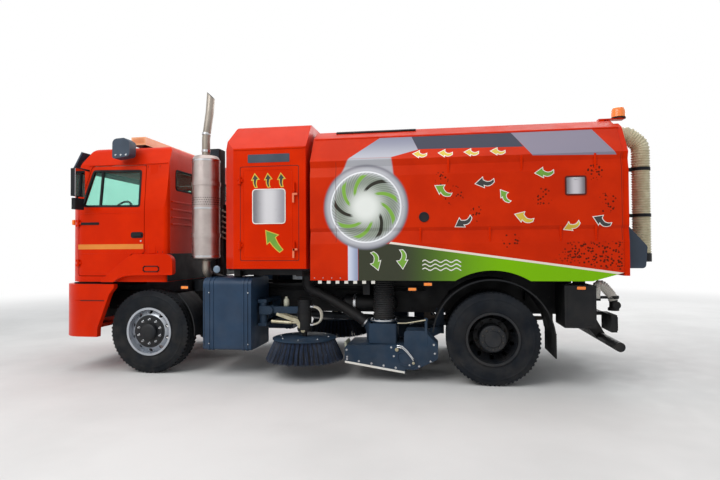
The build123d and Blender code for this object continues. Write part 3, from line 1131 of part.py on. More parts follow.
def nozzle():
    """Left suction nozzle: sloping open-bottomed box, round duct, side plates and trailing arm."""
    x = (HOSE_X - 440.0, HOSE_X + 270.0)
    front_z = 212.0
    rear_z = 105.0
    y = (-NOZZLE_OUTER_Y, -NOZZLE_INNER_Y)
    w = NOZZLE_WALL
    box = side_prism([(x[0], front_z, 0), (x[1], rear_z, 0), (x[1], 430.0, 20), (x[0], 410.0, 40)], y)
    hollow = side_prism([(x[0] + w, front_z - 60.0, 0), (x[1] - w, rear_z - 60.0, 0), (x[1] - w, 430.0 - w, 0),
                         (x[0] + w, 410.0 - w, 20)], (y[0] + w, y[1] - w))
    duct = rod(DUCT_RADIUS - 20.0, (HOSE_X, -HOSE_Y, 400.0), (HOSE_X, -HOSE_Y, DUCT_TOP))
    duct += rod(DUCT_RADIUS, (HOSE_X, -HOSE_Y, DUCT_TOP - 30.0), (HOSE_X, -HOSE_Y, DUCT_TOP))
    bore = rod(HOSE_RADIUS - HOSE_WALL, (HOSE_X, -HOSE_Y, 350.0), (HOSE_X, -HOSE_Y, DUCT_TOP + 1.0))
    plate = [(x[1] - 10.0, 150.0, 0), (x[1] + 120.0, 150.0, 20), (AXLE_F + 3590.0, 275.0, 30),
             (AXLE_F + 3590.0, 440.0, 30), (AXLE_F + 3440.0, 595.0, 30), (x[1] - 10.0, 595.0, 40)]
    sides = side_prism(plate, (y[0], y[0] + 40.0)) + side_prism(plate, (y[0] + 260.0, y[0] + 290.0))
    roller_x = HOSE_X + 400.0
    roller = rod(100.0, (roller_x, y[0] + 60.0, 245.0), (roller_x, y[0] + 240.0, 245.0))
    roller += rod(20.0, (roller_x, y[0] + 30.0, 245.0), (roller_x, y[0] + 270.0, 245.0))
    arm_y = (-RAIL_OUTER_Y - 140.0, -RAIL_OUTER_Y - 50.0)
    arm = side_prism([(x[1] - 60.0, 300.0, 0), (x[1] + 40.0, 300.0, 30), (NOZZLE_HINGE_X, NOZZLE_HINGE_Z - 45.0, 0),
                      (NOZZLE_HINGE_X, NOZZLE_HINGE_Z + 45.0, 0), (x[1] - 60.0, 425.0, 0)], arm_y)
    arm += rod(45.0, (NOZZLE_HINGE_X, arm_y[0], NOZZLE_HINGE_Z), (NOZZLE_HINGE_X, arm_y[1], NOZZLE_HINGE_Z))
    link = block((x[1] - 60.0, x[1] - w), (y[1] - 5.0, arm_y[0] + 5.0), (300.0, 425.0))
    pin = rod(NOZZLE_PIN_RADIUS + PIN_GAP, (NOZZLE_HINGE_X, arm_y[0] - 1.0, NOZZLE_HINGE_Z),
              (NOZZLE_HINGE_X, arm_y[1] + 1.0, NOZZLE_HINGE_Z))
    return box + duct + sides + roller + arm + link - hollow - bore - pin


NOZZLE_PIN_RADIUS = 25.0


def nozzle_mount():
    x = (NOZZLE_HINGE_X - 50.0, NOZZLE_HINGE_X + 50.0)
    mount = block(x, (-RAIL_OUTER_Y - 40.0, -RAIL_OUTER_Y), (NOZZLE_HINGE_Z - 60.0, RAIL_BOTTOM + 60.0))
    return mount + rod(NOZZLE_PIN_RADIUS, (NOZZLE_HINGE_X, -RAIL_OUTER_Y - 35.0, NOZZLE_HINGE_Z),
                       (NOZZLE_HINGE_X, -RAIL_OUTER_Y - 145.0, NOZZLE_HINGE_Z))


def suction_hose():
    return tube(HOSE_RADIUS, HOSE_RADIUS - HOSE_WALL, (HOSE_X, -HOSE_Y, DUCT_TOP + SEAT_GAP),
                (HOSE_X, -HOSE_Y, HOSE_TOP - SEAT_GAP))


def front_tyre_left():
    return tyre((AXLE_F, -FRONT_TYRE_Y, TYRE_RADIUS))


def rear_tyres_left():
    outer = tyre((AXLE_R, -TWIN_OUTER_Y, TYRE_RADIUS))
    return outer + tyre((AXLE_R, -TWIN_INNER_Y, TYRE_RADIUS))


# Nodes made whole
WHOLE = {
    "front_bumper": [front_bumper, bumper_corners], "frame_rails": [frame_rails],
    "frame_crossmembers": [frame_crossmembers, cab_mounts],
    "engine": [engine, driveline], "front_axle": [front_axle], "leaf_springs": [leaf_springs],
    "rear_axle": [rear_axle], "exhaust_stack": [exhaust_stack], "body_subframe": [body_subframe],
    "module_shell": [module_shell], "module_engine": [module_engine], "hopper_shell": [hopper_shell],
    "tailgate": [tailgate], "wander_hose": [wander_hose], "rear_beacons": [rear_beacon],
    "tip_barrel": [tip_barrel], "tip_rod": [tip_rod], "cab_shell": [cab_shell], "cab_glass": [cab_glass],
    "front_grille": [front_grille], "roof_light_bar": [roof_light_bar], "sun_visor": [sun_visor],
    "cab_interior": [cab_seats, dashboard], "front_lamps": [front_lamps],
    "rear_underrun": [rear_underrun, rear_lamps], "kerb_mirrors": [kerb_mirror],
}
# Nodes made on the left and doubled on the right, on one body
PAIRED = {
    "mudguards": [front_mudguard, rear_fender],
    "side_tanks": [side_tank, rear_boxes], "cab_arches": [cab_arch], "tool_mounts": [broom_mount, nozzle_mount],
}
# Nodes that are a body, or part of one, on each side
HANDED = {
    "knuckle": knuckle, "tyre_front": front_tyre_left, "tyres_rear": rear_tyres_left,
    "rim_front": front_rim, "rims_rear": rear_rim,
    "door": cab_door, "door_glass": door_glass, "mirrors": mirrors, "module_door": module_door,
    "broom_bracket": broom_bracket, "broom_arm": broom_arm, "broom_brush": broom_brush,
    "nozzle": nozzle, "suction_hose": suction_hose,
}


def gathered(makers):
    """All solids of a node in one shape."""
    shape = makers[0]()
    for maker in makers[1:]:
        shape += maker()
    return shape


def write(name, shape):
    export_step(shape, f"parts/{name}.step")


for node, makers in WHOLE.items():
    write(node, gathered(makers))
for node, makers in PAIRED.items():
    write(node, both(gathered(makers)))
for node, maker in HANDED.items():
    left = maker()
    write(f"{node}_left", left)
    write(f"{node}_right", right_hand(left))
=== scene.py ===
"""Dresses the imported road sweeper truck: a finish for every CAD solid, and the small pieces the solids leave out."""
import logging
import math
from dataclasses import dataclass, field
from enum import Enum
from typing import Any, Callable, Iterable, Sequence

import bmesh
import bpy
from mathutils import Euler, Matrix, Vector


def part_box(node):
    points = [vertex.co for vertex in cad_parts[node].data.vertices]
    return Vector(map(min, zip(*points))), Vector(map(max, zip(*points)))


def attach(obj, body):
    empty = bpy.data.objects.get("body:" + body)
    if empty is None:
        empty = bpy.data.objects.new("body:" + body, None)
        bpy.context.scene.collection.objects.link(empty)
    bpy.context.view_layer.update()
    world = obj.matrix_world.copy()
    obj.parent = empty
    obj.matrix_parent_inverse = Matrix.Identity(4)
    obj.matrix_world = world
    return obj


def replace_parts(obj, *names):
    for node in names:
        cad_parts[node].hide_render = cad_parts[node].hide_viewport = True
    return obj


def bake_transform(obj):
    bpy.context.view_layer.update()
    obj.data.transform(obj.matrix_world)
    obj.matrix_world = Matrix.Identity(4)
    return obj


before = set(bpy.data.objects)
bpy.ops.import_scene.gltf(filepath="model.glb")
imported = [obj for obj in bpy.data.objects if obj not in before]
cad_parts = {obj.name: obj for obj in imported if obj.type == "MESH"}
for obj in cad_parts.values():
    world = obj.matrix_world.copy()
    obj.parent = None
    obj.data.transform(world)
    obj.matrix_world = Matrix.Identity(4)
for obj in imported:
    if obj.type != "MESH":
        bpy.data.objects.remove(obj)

LOG = logging.getLogger("sweeper")
Point = tuple[float, float]
Triple = tuple[float, float, float]
Place = Callable[[float, float, float], Vector]

# Shared by several classes: places in metres, directions, the colour of dust and what counts as a hard edge
AXLE_F = -2.425
AXLE_R = 1.775
WHEEL_Z = 0.522
BODY_HALF = 1.25
CAB_HALF = 1.17
CAB_BELT = 2.06
SIDES = (("left", -1), ("right", 1))
ORIGIN, LEFT, UP, REAR = (0, 0, 0), (0, -1, 0), (0, 0, 1), (1, 0, 0)
DUST = (132, 122, 108)
HARD_EDGE = math.radians(38)
HARD_GROWN_EDGE = math.radians(40)


class Slot(Enum):
    """The record's material slots, one kept on each finish."""

    ORANGE = "orange"
    CHASSIS = "chassis_black"
    TRIM = "trim_black"
    BLUE_GREY = "blue_grey"
    STAINLESS = "stainless"
    CAST = "cast"
    SPRING = "spring_steel"
    SILVER = "wheel_silver"
    WHEEL_BLACK = "wheel_black"
    TYRE = "tyre"
    GLASS = "glass"
    LAMP = "lamp_clear"
    AMBER = "amber"
    SEAT = "seat_fabric"
    BRISTLE = "bristle"
    RUBBER = "hose_rubber"
    CREAM = "hose_cream"
    CHROME = "rod_chrome"
    ENGINE = "engine_paint"


def srgb(colour: Sequence[float]) -> tuple[float, float, float, float]:
    """A screen colour as the linear one that the shaders use.

    Args:
        colour: red, green and blue, 0 to 255.

    Returns:
        Linear red, green, blue and 1.
    """
    linear = [((c / 255 + 0.055) / 1.055) ** 2.4 if c > 10.3 else c / 255 / 12.92 for c in colour]
    return (linear[0], linear[1], linear[2], 1.0)


class Tree:
    """A node tree, with short calls for its nodes and links."""

    def __init__(self, tree: bpy.types.NodeTree) -> None:
        """Takes over a tree."""
        self.tree = tree

    def put(self, socket: Any, value: Any) -> None:
        """Links or sets one socket."""
        if isinstance(value, bpy.types.NodeSocket):
            self.tree.links.new(value, socket)
        else:
            socket.default_value = value

    def fill(self, node: Any, **inputs: Any) -> None:
        """Links or sets sockets by name, with _ for a space."""
        for name, value in inputs.items():
            self.put(node.inputs[name.replace("_", " ")], value)

    def node(self, kind: str, settings: dict[str, Any] | None = None, *values: Any, **inputs: Any) -> Any:
        """A node with its settings and inputs.

        Args:
            kind: the node's type.
            settings: the node's own properties.
            values: its first inputs in order.
            inputs: other inputs by name, with _ for a space.

        Returns:
            The node.
        """
        made = self.tree.nodes.new(kind)
        for name, value in (settings or {}).items():
            setattr(made, name, value)
        for socket, value in zip(made.inputs, values):
            self.put(socket, value)
        self.fill(made, **inputs)
        return made

    def math(self, operation: str, *values: Any) -> Any:
        """The output of one Math node."""
        return self.node("ShaderNodeMath", {"operation": operation}, *values).outputs[0]

    def seen(self) -> Any:
        """1 for the rays of camera, gloss and glass."""
        rays = self.node("ShaderNodeLightPath").outputs
        direct = self.math("MAXIMUM", rays["Is Camera Ray"], rays["Is Glossy Ray"])
        return self.math("MAXIMUM", direct, rays["Is Transmission Ray"])


class Graph(Tree):
    """A material's node tree, with short calls for what the finishes share."""

    def __init__(self, name: str) -> None:
        """Starts a material of that name."""
        self.material = bpy.data.materials.new(name)
        self.material.use_nodes = True
        super().__init__(self.material.node_tree)
        self.shader = self.tree.nodes["Principled BSDF"]
        self.place = self.node("ShaderNodeTexCoord").outputs["Object"]
        self.x, self.y, self.z = self.node("ShaderNodeSeparateXYZ", None, self.place).outputs

    def times(self, *values: Any) -> Any:
        """The product of several values."""
        result = values[0]
        for value in values[1:]:
            result = self.math("MULTIPLY", result, value)
        return result

    def step(self, value: Any, low: float, high: float, start: float = 0.0, end: float = 1.0) -> Any:
        """A smooth change from start to end while value goes from low to high."""
        kind = {"interpolation_type": "SMOOTHSTEP"}
        return self.node("ShaderNodeMapRange", kind, value, low, high, start, end).outputs[0]

    def mix(self, share: Any, first: Any, second: Any) -> Any:
        """A colour between two."""
        made = self.node("ShaderNodeMix", {"data_type": "RGBA"})
        for index, value in ((0, share), (6, first), (7, second)):
            self.put(made.inputs[index], value)
        return made.outputs[2]

    def noise(self, scale: float, detail: float = 2.0, stretch: Sequence[float] = (1, 1, 1),
            seed: float = 0.0) -> Any:
        """Noise from 0 to 1 on Object coordinates."""
        where = self.node("ShaderNodeMapping", Vector=self.place, Scale=tuple(stretch), Location=(seed, seed, seed))
        return self.node("ShaderNodeTexNoise", Vector=where.outputs[0], Scale=scale, Detail=detail).outputs[0]

    def slanted(self, a: float, b: float, c: float, edge: float = 0.0015) -> Any:
        """1 where a*x + b*z is over c, with an edge that wide."""
        across = self.node("ShaderNodeVectorMath", {"operation": "DOT_PRODUCT"}, self.place, (a, 0.0, b))
        return self.step(across.outputs["Value"], c - edge, c + edge)

    def inside(self, corners: Sequence[Point], edge: float = 0.0015) -> Any:
        """1 inside a convex outline in X and Z, with soft edges that wide.

        Args:
            corners: the outline, either way round.
            edge: half the width of its border's change.

        Returns:
            The mask.
        """
        area = sum(p[0] * q[1] - q[0] * p[1] for p, q in zip(corners, corners[1:] + corners[:1]))
        turn = 1 if area > 0 else -1
        masks = []
        for (x0, z0), (x1, z1) in zip(corners, corners[1:] + corners[:1]):
            length = math.hypot(x1 - x0, z1 - z0)
            a, b = -turn * (z1 - z0) / length, turn * (x1 - x0) / length
            masks.append(self.slanted(a, b, a * x0 + b * z0, edge))
        return self.times(*masks)

    def away(self, centre: Point) -> tuple[Any, Any]:
        """Distance from a point in X and Z, and the angle round it."""
        dx = self.math("SUBTRACT", self.x, centre[0])
        dz = self.math("SUBTRACT", self.z, centre[1])
        squares = self.math("ADD", self.times(dx, dx), self.times(dz, dz))
        return self.math("SQRT", squares), self.math("ARCTAN2", dz, dx)


@dataclass(frozen=True)
class Finish:
    """A surface whose colour, gloss and relief come from noise on Object coordinates."""

    name: str
    slot: Slot
    colour: tuple[int, int, int]
    drift: tuple[int, int, int]
    rough: float = 0.5
    metal: float = 0.0
    coat: float = 0.0
    shine: float = 0.3
    gleam: tuple[int, int, int] = (255, 255, 255)
    grain: float = 300.0
    relief: float = 0.0001
    patch: float = 3.0
    dust: float = 0.25
    stretch: Triple = (1.0, 1.0, 1.0)

    def tint(self, graph: Graph) -> Any:
        """The colour before any dust."""
        blotch = graph.step(graph.noise(self.patch, 4.0), 0.35, 0.65)
        return graph.mix(blotch, srgb(self.colour), srgb(self.drift))

    def height(self, graph: Graph) -> Any:
        """The fine relief, 0 to 1."""
        return graph.noise(self.grain, 3.0, self.stretch)

    def extras(self, graph: Graph) -> None:
        """What a special finish sets besides."""

    def material(self) -> bpy.types.Material:
        """The material, made once and kept.

        Returns:
            The material of this finish.
        """
        known = bpy.data.materials.get(self.name)
        if known:
            return known
        graph = Graph(self.name)
        low = graph.step(graph.z, 1.5, 0.15)
        film = graph.times(low, graph.step(graph.noise(7.0, 5.0, seed=4.0), 0.3, 0.75), self.dust * 0.3)
        smear = graph.noise(5.0, 5.0, self.stretch, 9.0)
        rough = graph.step(smear, 0.25, 0.75, self.rough * 0.8, min(1.0, self.rough * 1.25))
        bump = graph.node("ShaderNodeBump", Strength=0.6, Distance=self.relief, Height=self.height(graph))
        graph.fill(graph.shader, Base_Color=graph.mix(film, self.tint(graph), srgb(DUST)),
            Roughness=graph.math("ADD", rough, graph.times(film, 0.4)), Metallic=self.metal,
            Specular_IOR_Level=self.shine, Specular_Tint=srgb(self.gleam), Coat_Weight=self.coat, Coat_Roughness=0.06,
            Normal=bump.outputs[0])
        self.extras(graph)
        return graph.material


@dataclass(frozen=True)
class Livery(Finish):
    """Enamel with the hopper's painted bands, ring, wedge and specks, the same on both sides."""

    ring: Point = (0.351, 2.027)
    ring_inner: float = 0.417
    ring_outer: float = 0.497
    blades: int = 9

    def tint(self, graph: Graph) -> Any:
        """The enamel under all that is painted on it."""
        colour = super().tint(graph)
        side = graph.math("GREATER_THAN", graph.math("ABSOLUTE", graph.y), 0.86)
        pale = graph.mix(graph.step(graph.z, 2.55, 2.86), srgb((190, 192, 200)), srgb((138, 142, 160)))
        slope = [([(0.876, 2.862), (2.017, 2.862), (2.135, 2.675), (0.956, 2.691)], srgb((58, 68, 84))),
            ([(2.011, 2.862), (2.888, 2.862), (3.091, 2.543), (2.219, 2.563)], srgb((140, 136, 152))),
            ([(0.15, 2.6), (0.501, 2.862), (0.877, 2.862), (0.957, 2.687), (0.65, 2.6)], pale)]
        for corners, paint in slope:
            colour = graph.mix(graph.times(side, graph.inside(corners)), colour, paint)
        neck = graph.inside([(0.04, 2.37), (0.15, 2.6), (0.65, 2.6), (0.68, 2.37)], 0.012)
        colour = graph.mix(graph.times(side, neck), colour, srgb((176, 178, 184)))
        stripe = graph.step(graph.x, 0.14, 0.258)
        stripe = graph.mix(stripe, srgb((214, 220, 236)), srgb((150, 162, 190)))
        stem = graph.inside(rect(0.14, 1.1, 0.258, 1.62))
        colour = graph.mix(graph.times(side, stem), colour, stripe)
        wedge = graph.mix(graph.step(graph.x, 0.7, 2.0), srgb((56, 64, 52)), srgb((122, 186, 12)))
        low = graph.inside([(0.262, 1.1), (0.262, 1.6), (0.648, 1.596), (3.3, 1.221), (3.3, 1.1)])
        colour = graph.mix(graph.times(side, low), colour, wedge)
        line = graph.inside([(0.62, 1.599), (0.64, 1.621), (3.3, 1.246), (3.3, 1.222)])
        colour = graph.mix(graph.times(side, line), colour, srgb((236, 226, 212)))
        colour = self.specks(graph, colour, side)
        return self.rosette(graph, colour, side)

    def specks(self, graph: Graph, colour: Any, side: Any) -> Any:
        """Small dark spots at the rear, and a few loose groups."""
        cells = graph.node("ShaderNodeTexVoronoi", Vector=graph.place, Scale=36.0)
        keep = graph.node("ShaderNodeSeparateColor", Color=cells.outputs["Color"]).outputs[0]
        spot = graph.times(graph.step(cells.outputs["Distance"], 0.46, 0.36), graph.math("GREATER_THAN", keep, 0.15))
        fade = graph.step(graph.x, 2.35, 2.65)
        where = graph.times(graph.inside([(2.42, 1.4), (2.56, 1.6), (3.14, 1.6), (3.14, 1.29)], 0.02), fade)
        for x, z, r in ((1.36, 2.14, 0.12), (1.22, 2.33, 0.09), (1.62, 1.93, 0.1), (2.32, 2.1, 0.11),
                (2.98, 2.02, 0.12), (1.98, 1.62, 0.1), (2.86, 2.36, 0.1)):
            far, _ = graph.away((x, z))
            group = graph.times(graph.step(far, r, r * 0.8), graph.math("GREATER_THAN", keep, 0.5))
            where = graph.math("MAXIMUM", where, group)
        return graph.mix(graph.times(side, spot, where), colour, srgb((84, 22, 10)))

    def rosette(self, graph: Graph, colour: Any, side: Any) -> Any:
        """A grey ring round a plain turbine of swept vanes."""
        far, angle = graph.away(self.ring)
        rim = graph.times(graph.step(far, self.ring_outer + 0.012, self.ring_outer - 0.02), side)
        shade = graph.mix(graph.step(far, self.ring_outer - 0.06, self.ring_outer), srgb((188, 190, 196)),
            srgb((120, 122, 132)))
        colour = graph.mix(rim, colour, shade)
        glow = graph.mix(graph.step(far, 0.08, 0.3), srgb((236, 240, 234)), srgb((150, 160, 148)))
        glow = graph.mix(graph.step(far, 0.33, self.ring_inner), glow, srgb((196, 200, 204)))
        sweep = graph.math("ADD", graph.times(angle, self.blades / math.tau), graph.times(far, 5.2))
        turn = graph.math("FRACT", sweep)
        vane = graph.times(graph.step(turn, 0.06, 0.12), graph.step(turn, 0.44, 0.34), graph.step(far, 0.17, 0.21),
            graph.step(far, 0.385, 0.36))
        parity = graph.math("FRACT", graph.times(graph.math("FLOOR", sweep), 1 / 3))
        leaf = graph.mix(graph.math("GREATER_THAN", parity, 0.2), srgb((44, 50, 46)), srgb((128, 178, 74)))
        lines = graph.math("FRACT", graph.math("ADD", graph.times(angle, 54 / math.tau), graph.times(far, 31.0)))
        fine = graph.times(graph.step(lines, 0.55, 0.8), graph.step(far, 0.12, 0.28), 0.5)
        inner = graph.mix(fine, glow, srgb((92, 104, 92)))
        inner = graph.mix(vane, inner, leaf)
        edge = graph.step(far, self.ring_inner - 0.022, self.ring_inner - 0.012)
        inner = graph.mix(edge, inner, srgb((240, 242, 244)))
        disc = graph.times(graph.step(far, self.ring_inner + 0.004, self.ring_inner - 0.004), side)
        return graph.mix(disc, colour, inner)


@dataclass(frozen=True)
class TyreRubber(Finish):
    """Black rubber with moulded rings round one axle."""

    axle_x: float = AXLE_F

    def height(self, graph: Graph) -> Any:
        """Rings and fine radial ticks on the side walls."""
        far, angle = graph.away((self.axle_x, WHEEL_Z))
        rings = graph.math("SINE", graph.times(far, 520.0))
        ticks = graph.times(graph.math("SINE", graph.times(angle, 240.0)), graph.step(far, 0.455, 0.47),
            graph.step(far, 0.5, 0.49))
        moulded = graph.math("ADD", graph.times(rings, graph.step(far, 0.44, 0.42), 0.5), ticks)
        return graph.math("ADD", moulded, graph.noise(self.grain, 3.0))


@dataclass(frozen=True)
class Tufts(Finish):
    """Bristles in narrow tufts round the broom's axis, with painted shade in the slits between them."""

    centre: Point = (-0.455, 0.98)
    tufts: int = 46

    def tint(self, graph: Graph) -> Any:
        """Paints shade into the slits."""
        dx = graph.math("SUBTRACT", graph.x, self.centre[0])
        dy = graph.math("SUBTRACT", graph.math("ABSOLUTE", graph.y), self.centre[1])
        angle = graph.times(graph.math("ARCTAN2", dy, dx), self.tufts / math.tau)
        wave = graph.math("FRACT", graph.math("ADD", angle, graph.times(graph.noise(9.0), 0.8)))
        slit_shade = graph.times(graph.step(wave, 0.0, 0.12), graph.step(wave, 0.42, 0.3))
        return graph.mix(slit_shade, super().tint(graph), srgb((8, 10, 14)))


@dataclass(frozen=True)
class Glazing(Finish):
    """Clear glass with a light tint and a little film on it."""

    def extras(self, graph: Graph) -> None:
        """Makes the shader let light through."""
        graph.fill(graph.shader, Transmission_Weight=0.95, IOR=1.12)


@dataclass(frozen=True)
class Lens(Finish):
    """Coloured lamp plastic with vertical flutes that glows a little."""

    glow: float = 0.25

    def height(self, graph: Graph) -> Any:
        """Flutes across the lens."""
        flutes = graph.math("SINE", graph.times(graph.math("ADD", graph.x, graph.y), 900.0))
        return graph.math("ADD", flutes, graph.times(graph.noise(self.grain), 0.2))

    def extras(self, graph: Graph) -> None:
        """Adds the glow and some depth."""
        graph.fill(graph.shader, Emission_Color=srgb(self.colour), Emission_Strength=self.glow, Subsurface_Weight=0.2)


@dataclass(frozen=True)
class Dimpled(Finish):
    """Stainless sheet pressed with rows of small dimples."""

    pitch: float = 58.0

    def height(self, graph: Graph) -> Any:
        """Dimples in a stagger, with the sheet's brushing."""
        cells = graph.node("ShaderNodeTexVoronoi", Vector=graph.place, Scale=self.pitch, Randomness=0.15)
        dents = graph.step(cells.outputs["Distance"], 0.16, 0.34)
        return graph.math("ADD", dents, graph.times(graph.noise(self.grain, 3.0, self.stretch), 0.1))


@dataclass(frozen=True)
class PaintedReflection(Finish):
    """Polished sheet with a painted reflection of its surroundings in soft upright bands."""

    low: float = 0.0
    high: float = 1.0

    def tint(self, graph: Graph) -> Any:
        """Painted reflection: dark, pale and grey bands from low to high along X."""
        share = graph.step(graph.x, self.low, self.low + 0.45 * (self.high - self.low))
        fall = graph.step(graph.x, self.low + 0.55 * (self.high - self.low), self.high)
        rising = graph.mix(share, srgb((118, 116, 122)), srgb(self.colour))
        return graph.mix(fall, rising, srgb(self.drift))


@dataclass(frozen=True)
class Studio(Finish):
    """The pale floor, which turns to plain white far from the truck."""

    def extras(self, graph: Graph) -> None:
        """Fades the floor into the backdrop for what the camera, gloss and glass see."""
        far = graph.math("SQRT", graph.math("ADD", graph.times(graph.x, graph.x), graph.times(graph.y, graph.y)))
        white = graph.node("ShaderNodeEmission", Color=(1, 1, 1, 1))
        share = graph.times(graph.seen(), graph.step(far, 7.0, 17.0))
        blend = graph.node("ShaderNodeMixShader", None, share, graph.shader.outputs[0], white.outputs[0])
        graph.fill(graph.tree.nodes["Material Output"], Surface=blend.outputs[0])


ENAMEL = Finish("orange_enamel", Slot.ORANGE, (214, 40, 2), (204, 35, 2), 0.34, coat=0.02, shine=0.35,
    gleam=(255, 120, 60), grain=260, relief=0.00012, dust=0.1)
LIVERY = Livery("hopper_enamel", Slot.ORANGE, (208, 43, 3), (196, 37, 2), 0.36, coat=0.02, shine=0.2,
    gleam=(255, 190, 150), grain=260, relief=0.00012, dust=0.05)
CHASSIS = Finish("chassis_paint", Slot.CHASSIS, (16, 18, 22), (11, 13, 16), 0.5, shine=0.25, grain=180, relief=0.0004)
TRIM = Finish("black_plastic", Slot.TRIM, (22, 24, 28), (16, 18, 21), 0.6, shine=0.25, grain=900, relief=0.0003)
SEAL = Finish("seal_rubber", Slot.TRIM, (18, 18, 19), (25, 25, 26), 0.75, grain=600, relief=0.0002, dust=0.2)
VISOR = Finish("visor_grey", Slot.TRIM, (60, 72, 86), (52, 63, 76), 0.45, grain=700, relief=0.0002, dust=0.1)
STEEL_BLUE = Finish("blue_grey_paint", Slot.BLUE_GREY, (42, 64, 88), (36, 57, 80), 0.42, coat=0.03, shine=0.2,
    grain=220, relief=0.00025)
TOOL_BLUE = Finish("tool_blue_paint", Slot.BLUE_GREY, (36, 56, 76), (28, 46, 64), 0.45, coat=0.02, shine=0.2,
    grain=220, relief=0.0003)
# Painted shadow: a dark red shade of the orange paint, for seams, door gaps and the hatch's rim.
PAINTED_SEAM_SHADOW = Finish("seam_shadow", Slot.TRIM, (92, 22, 8), (78, 18, 8), 0.7, dust=0.1)
HANDLE = Finish("handle_enamel", Slot.ORANGE, (238, 132, 92), (228, 116, 76), 0.3, coat=0.2, grain=260, dust=0.1)
BRUSHED = Finish("brushed_stainless", Slot.STAINLESS, (196, 196, 198), (176, 178, 182), 0.28, metal=1.0, grain=90,
    relief=0.0001, stretch=(1, 1, 22), dust=0.15)
DIMPLED = Dimpled("dimpled_stainless", Slot.STAINLESS, (182, 172, 168), (160, 148, 144), 0.36, metal=1.0, grain=60,
    relief=0.0012, stretch=(1, 1, 16), dust=0.1)
STACK = Finish("stack_steel", Slot.STAINLESS, (158, 150, 140), (132, 124, 114), 0.45, metal=0.8, grain=120,
    relief=0.00015, patch=2.0)
# Black that is partly soot and partly painted shade: the mitred mouth's opening and the silencer's perforation holes.
SOOT_AND_SHADE = Finish("soot", Slot.TRIM, (20, 19, 18), (34, 31, 28), 0.9, grain=200, relief=0.0005)
ZINC = Finish("zinc_plate", Slot.CAST, (190, 184, 160), (168, 160, 134), 0.38, metal=0.6, grain=260, relief=0.0003,
    patch=14.0)
BRIGHT = Finish("bright_nut", Slot.CAST, (208, 210, 212), (182, 184, 188), 0.25, metal=0.9, grain=400, dust=0.1)
CASTING = Finish("cast_iron", Slot.CAST, (48, 48, 50), (62, 58, 54), 0.7, metal=0.2, grain=240, relief=0.001,
    dust=0.5)
SPRING = Finish("leaf_steel", Slot.SPRING, (44, 42, 42), (66, 56, 48), 0.6, metal=0.4, grain=200, relief=0.0005,
    stretch=(1, 1, 30), dust=0.5)
SILVER = Finish("wheel_silver_paint", Slot.SILVER, (186, 190, 196), (168, 173, 180), 0.3, metal=0.6, grain=400,
    relief=0.0002, dust=0.1)
WHEEL_DARK = Finish("wheel_black_paint", Slot.WHEEL_BLACK, (24, 28, 34), (18, 21, 26), 0.45)
TYRE_F = TyreRubber("tyre_rubber_front", Slot.TYRE, (17, 21, 26), (22, 26, 31), 0.75, shine=0.2, grain=500,
    relief=0.0012)
TYRE_R = TyreRubber("tyre_rubber_rear", Slot.TYRE, (14, 19, 26), (19, 24, 31), 0.75, shine=0.2, grain=500,
    relief=0.0012, axle_x=AXLE_R)
GLASS = Glazing("window_glass", Slot.GLASS, (204, 246, 234), (198, 240, 228), 0.02, grain=4, relief=0.00002,
    dust=0.05)
# Painted reflections: the colour of the module windows and the hopper hatch holds soft bands of mirrored surroundings.
WINDOW_PAINTED_REFLECTION = PaintedReflection("module_window_sheen", Slot.STAINLESS, (214, 212, 214), (150, 148, 154), 0.3, grain=160,
    low=-1.012, high=-0.62)
HATCH_PAINTED_REFLECTION = PaintedReflection("hatch_sheen", Slot.STAINLESS, (206, 202, 206), (120, 112, 118), 0.3, grain=160, low=2.568,
    high=2.76)
MIRROR = Finish("mirror_glass", Slot.GLASS, (210, 216, 220), (200, 206, 212), 0.03, metal=1.0, grain=3,
    relief=0.00002)
REFLECTOR = Finish("reflector_grey", Slot.LAMP, (120, 140, 158), (104, 124, 142), 0.25, coat=0.6, grain=900,
    relief=0.0006, dust=0.1)
HEADLAMP = Lens("clear_lens", Slot.LAMP, (226, 230, 234), (206, 212, 218), 0.12, coat=0.8, relief=0.001, glow=0.1)
AMBER = Lens("amber_lens", Slot.AMBER, (236, 128, 34), (226, 112, 24), 0.2, coat=0.7, relief=0.001, glow=0.3)
RED_LENS = Lens("red_lens", Slot.AMBER, (176, 16, 18), (150, 10, 14), 0.2, coat=0.7, relief=0.001, glow=0.15)
SEAT = Finish("seat_cloth", Slot.SEAT, (58, 60, 66), (46, 48, 54), 0.95, grain=1400, relief=0.0006, patch=60.0)
DASH = Finish("dashboard_plastic", Slot.SEAT, (78, 80, 84), (66, 68, 72), 0.75, grain=1000, relief=0.0004)
# Painted shade in the slits between the bristle tufts, on the brushes and their cores.
BRISTLE = Tufts("bristle_blue", Slot.BRISTLE, (40, 54, 78), (28, 40, 60), 0.6, grain=80, relief=0.0002, patch=30.0)
LIGHT_BAR = Lens("light_bar_cover", Slot.AMBER, (240, 176, 128), (232, 160, 110), 0.35, coat=0.3, relief=0.001,
    glow=0.12)
BOTTLE = Finish("pale_bottle", Slot.CREAM, (196, 196, 176), (176, 178, 158), 0.4, grain=200, relief=0.0002)
HOSE = Finish("hose_rubber_black", Slot.RUBBER, (30, 31, 33), (40, 40, 42), 0.5, relief=0.0003, dust=0.4)
CREAM = Finish("hose_cream_pvc", Slot.CREAM, (212, 204, 172), (196, 186, 152), 0.5, coat=0.2, grain=200,
    relief=0.0003, patch=12.0, dust=0.2)
PALE_HOSE = Finish("hose_pale", Slot.CREAM, (206, 200, 184), (184, 176, 158), 0.5, grain=200, relief=0.0002, dust=0.3)
CHROME = Finish("chromed_rod", Slot.CHROME, (222, 224, 228), (206, 208, 214), 0.08, metal=1.0, grain=400, dust=0.15)
ENGINE = Finish("engine_grey", Slot.ENGINE, (82, 88, 94), (66, 72, 78), 0.55, metal=0.2, grain=160, relief=0.0008,
    dust=0.5)
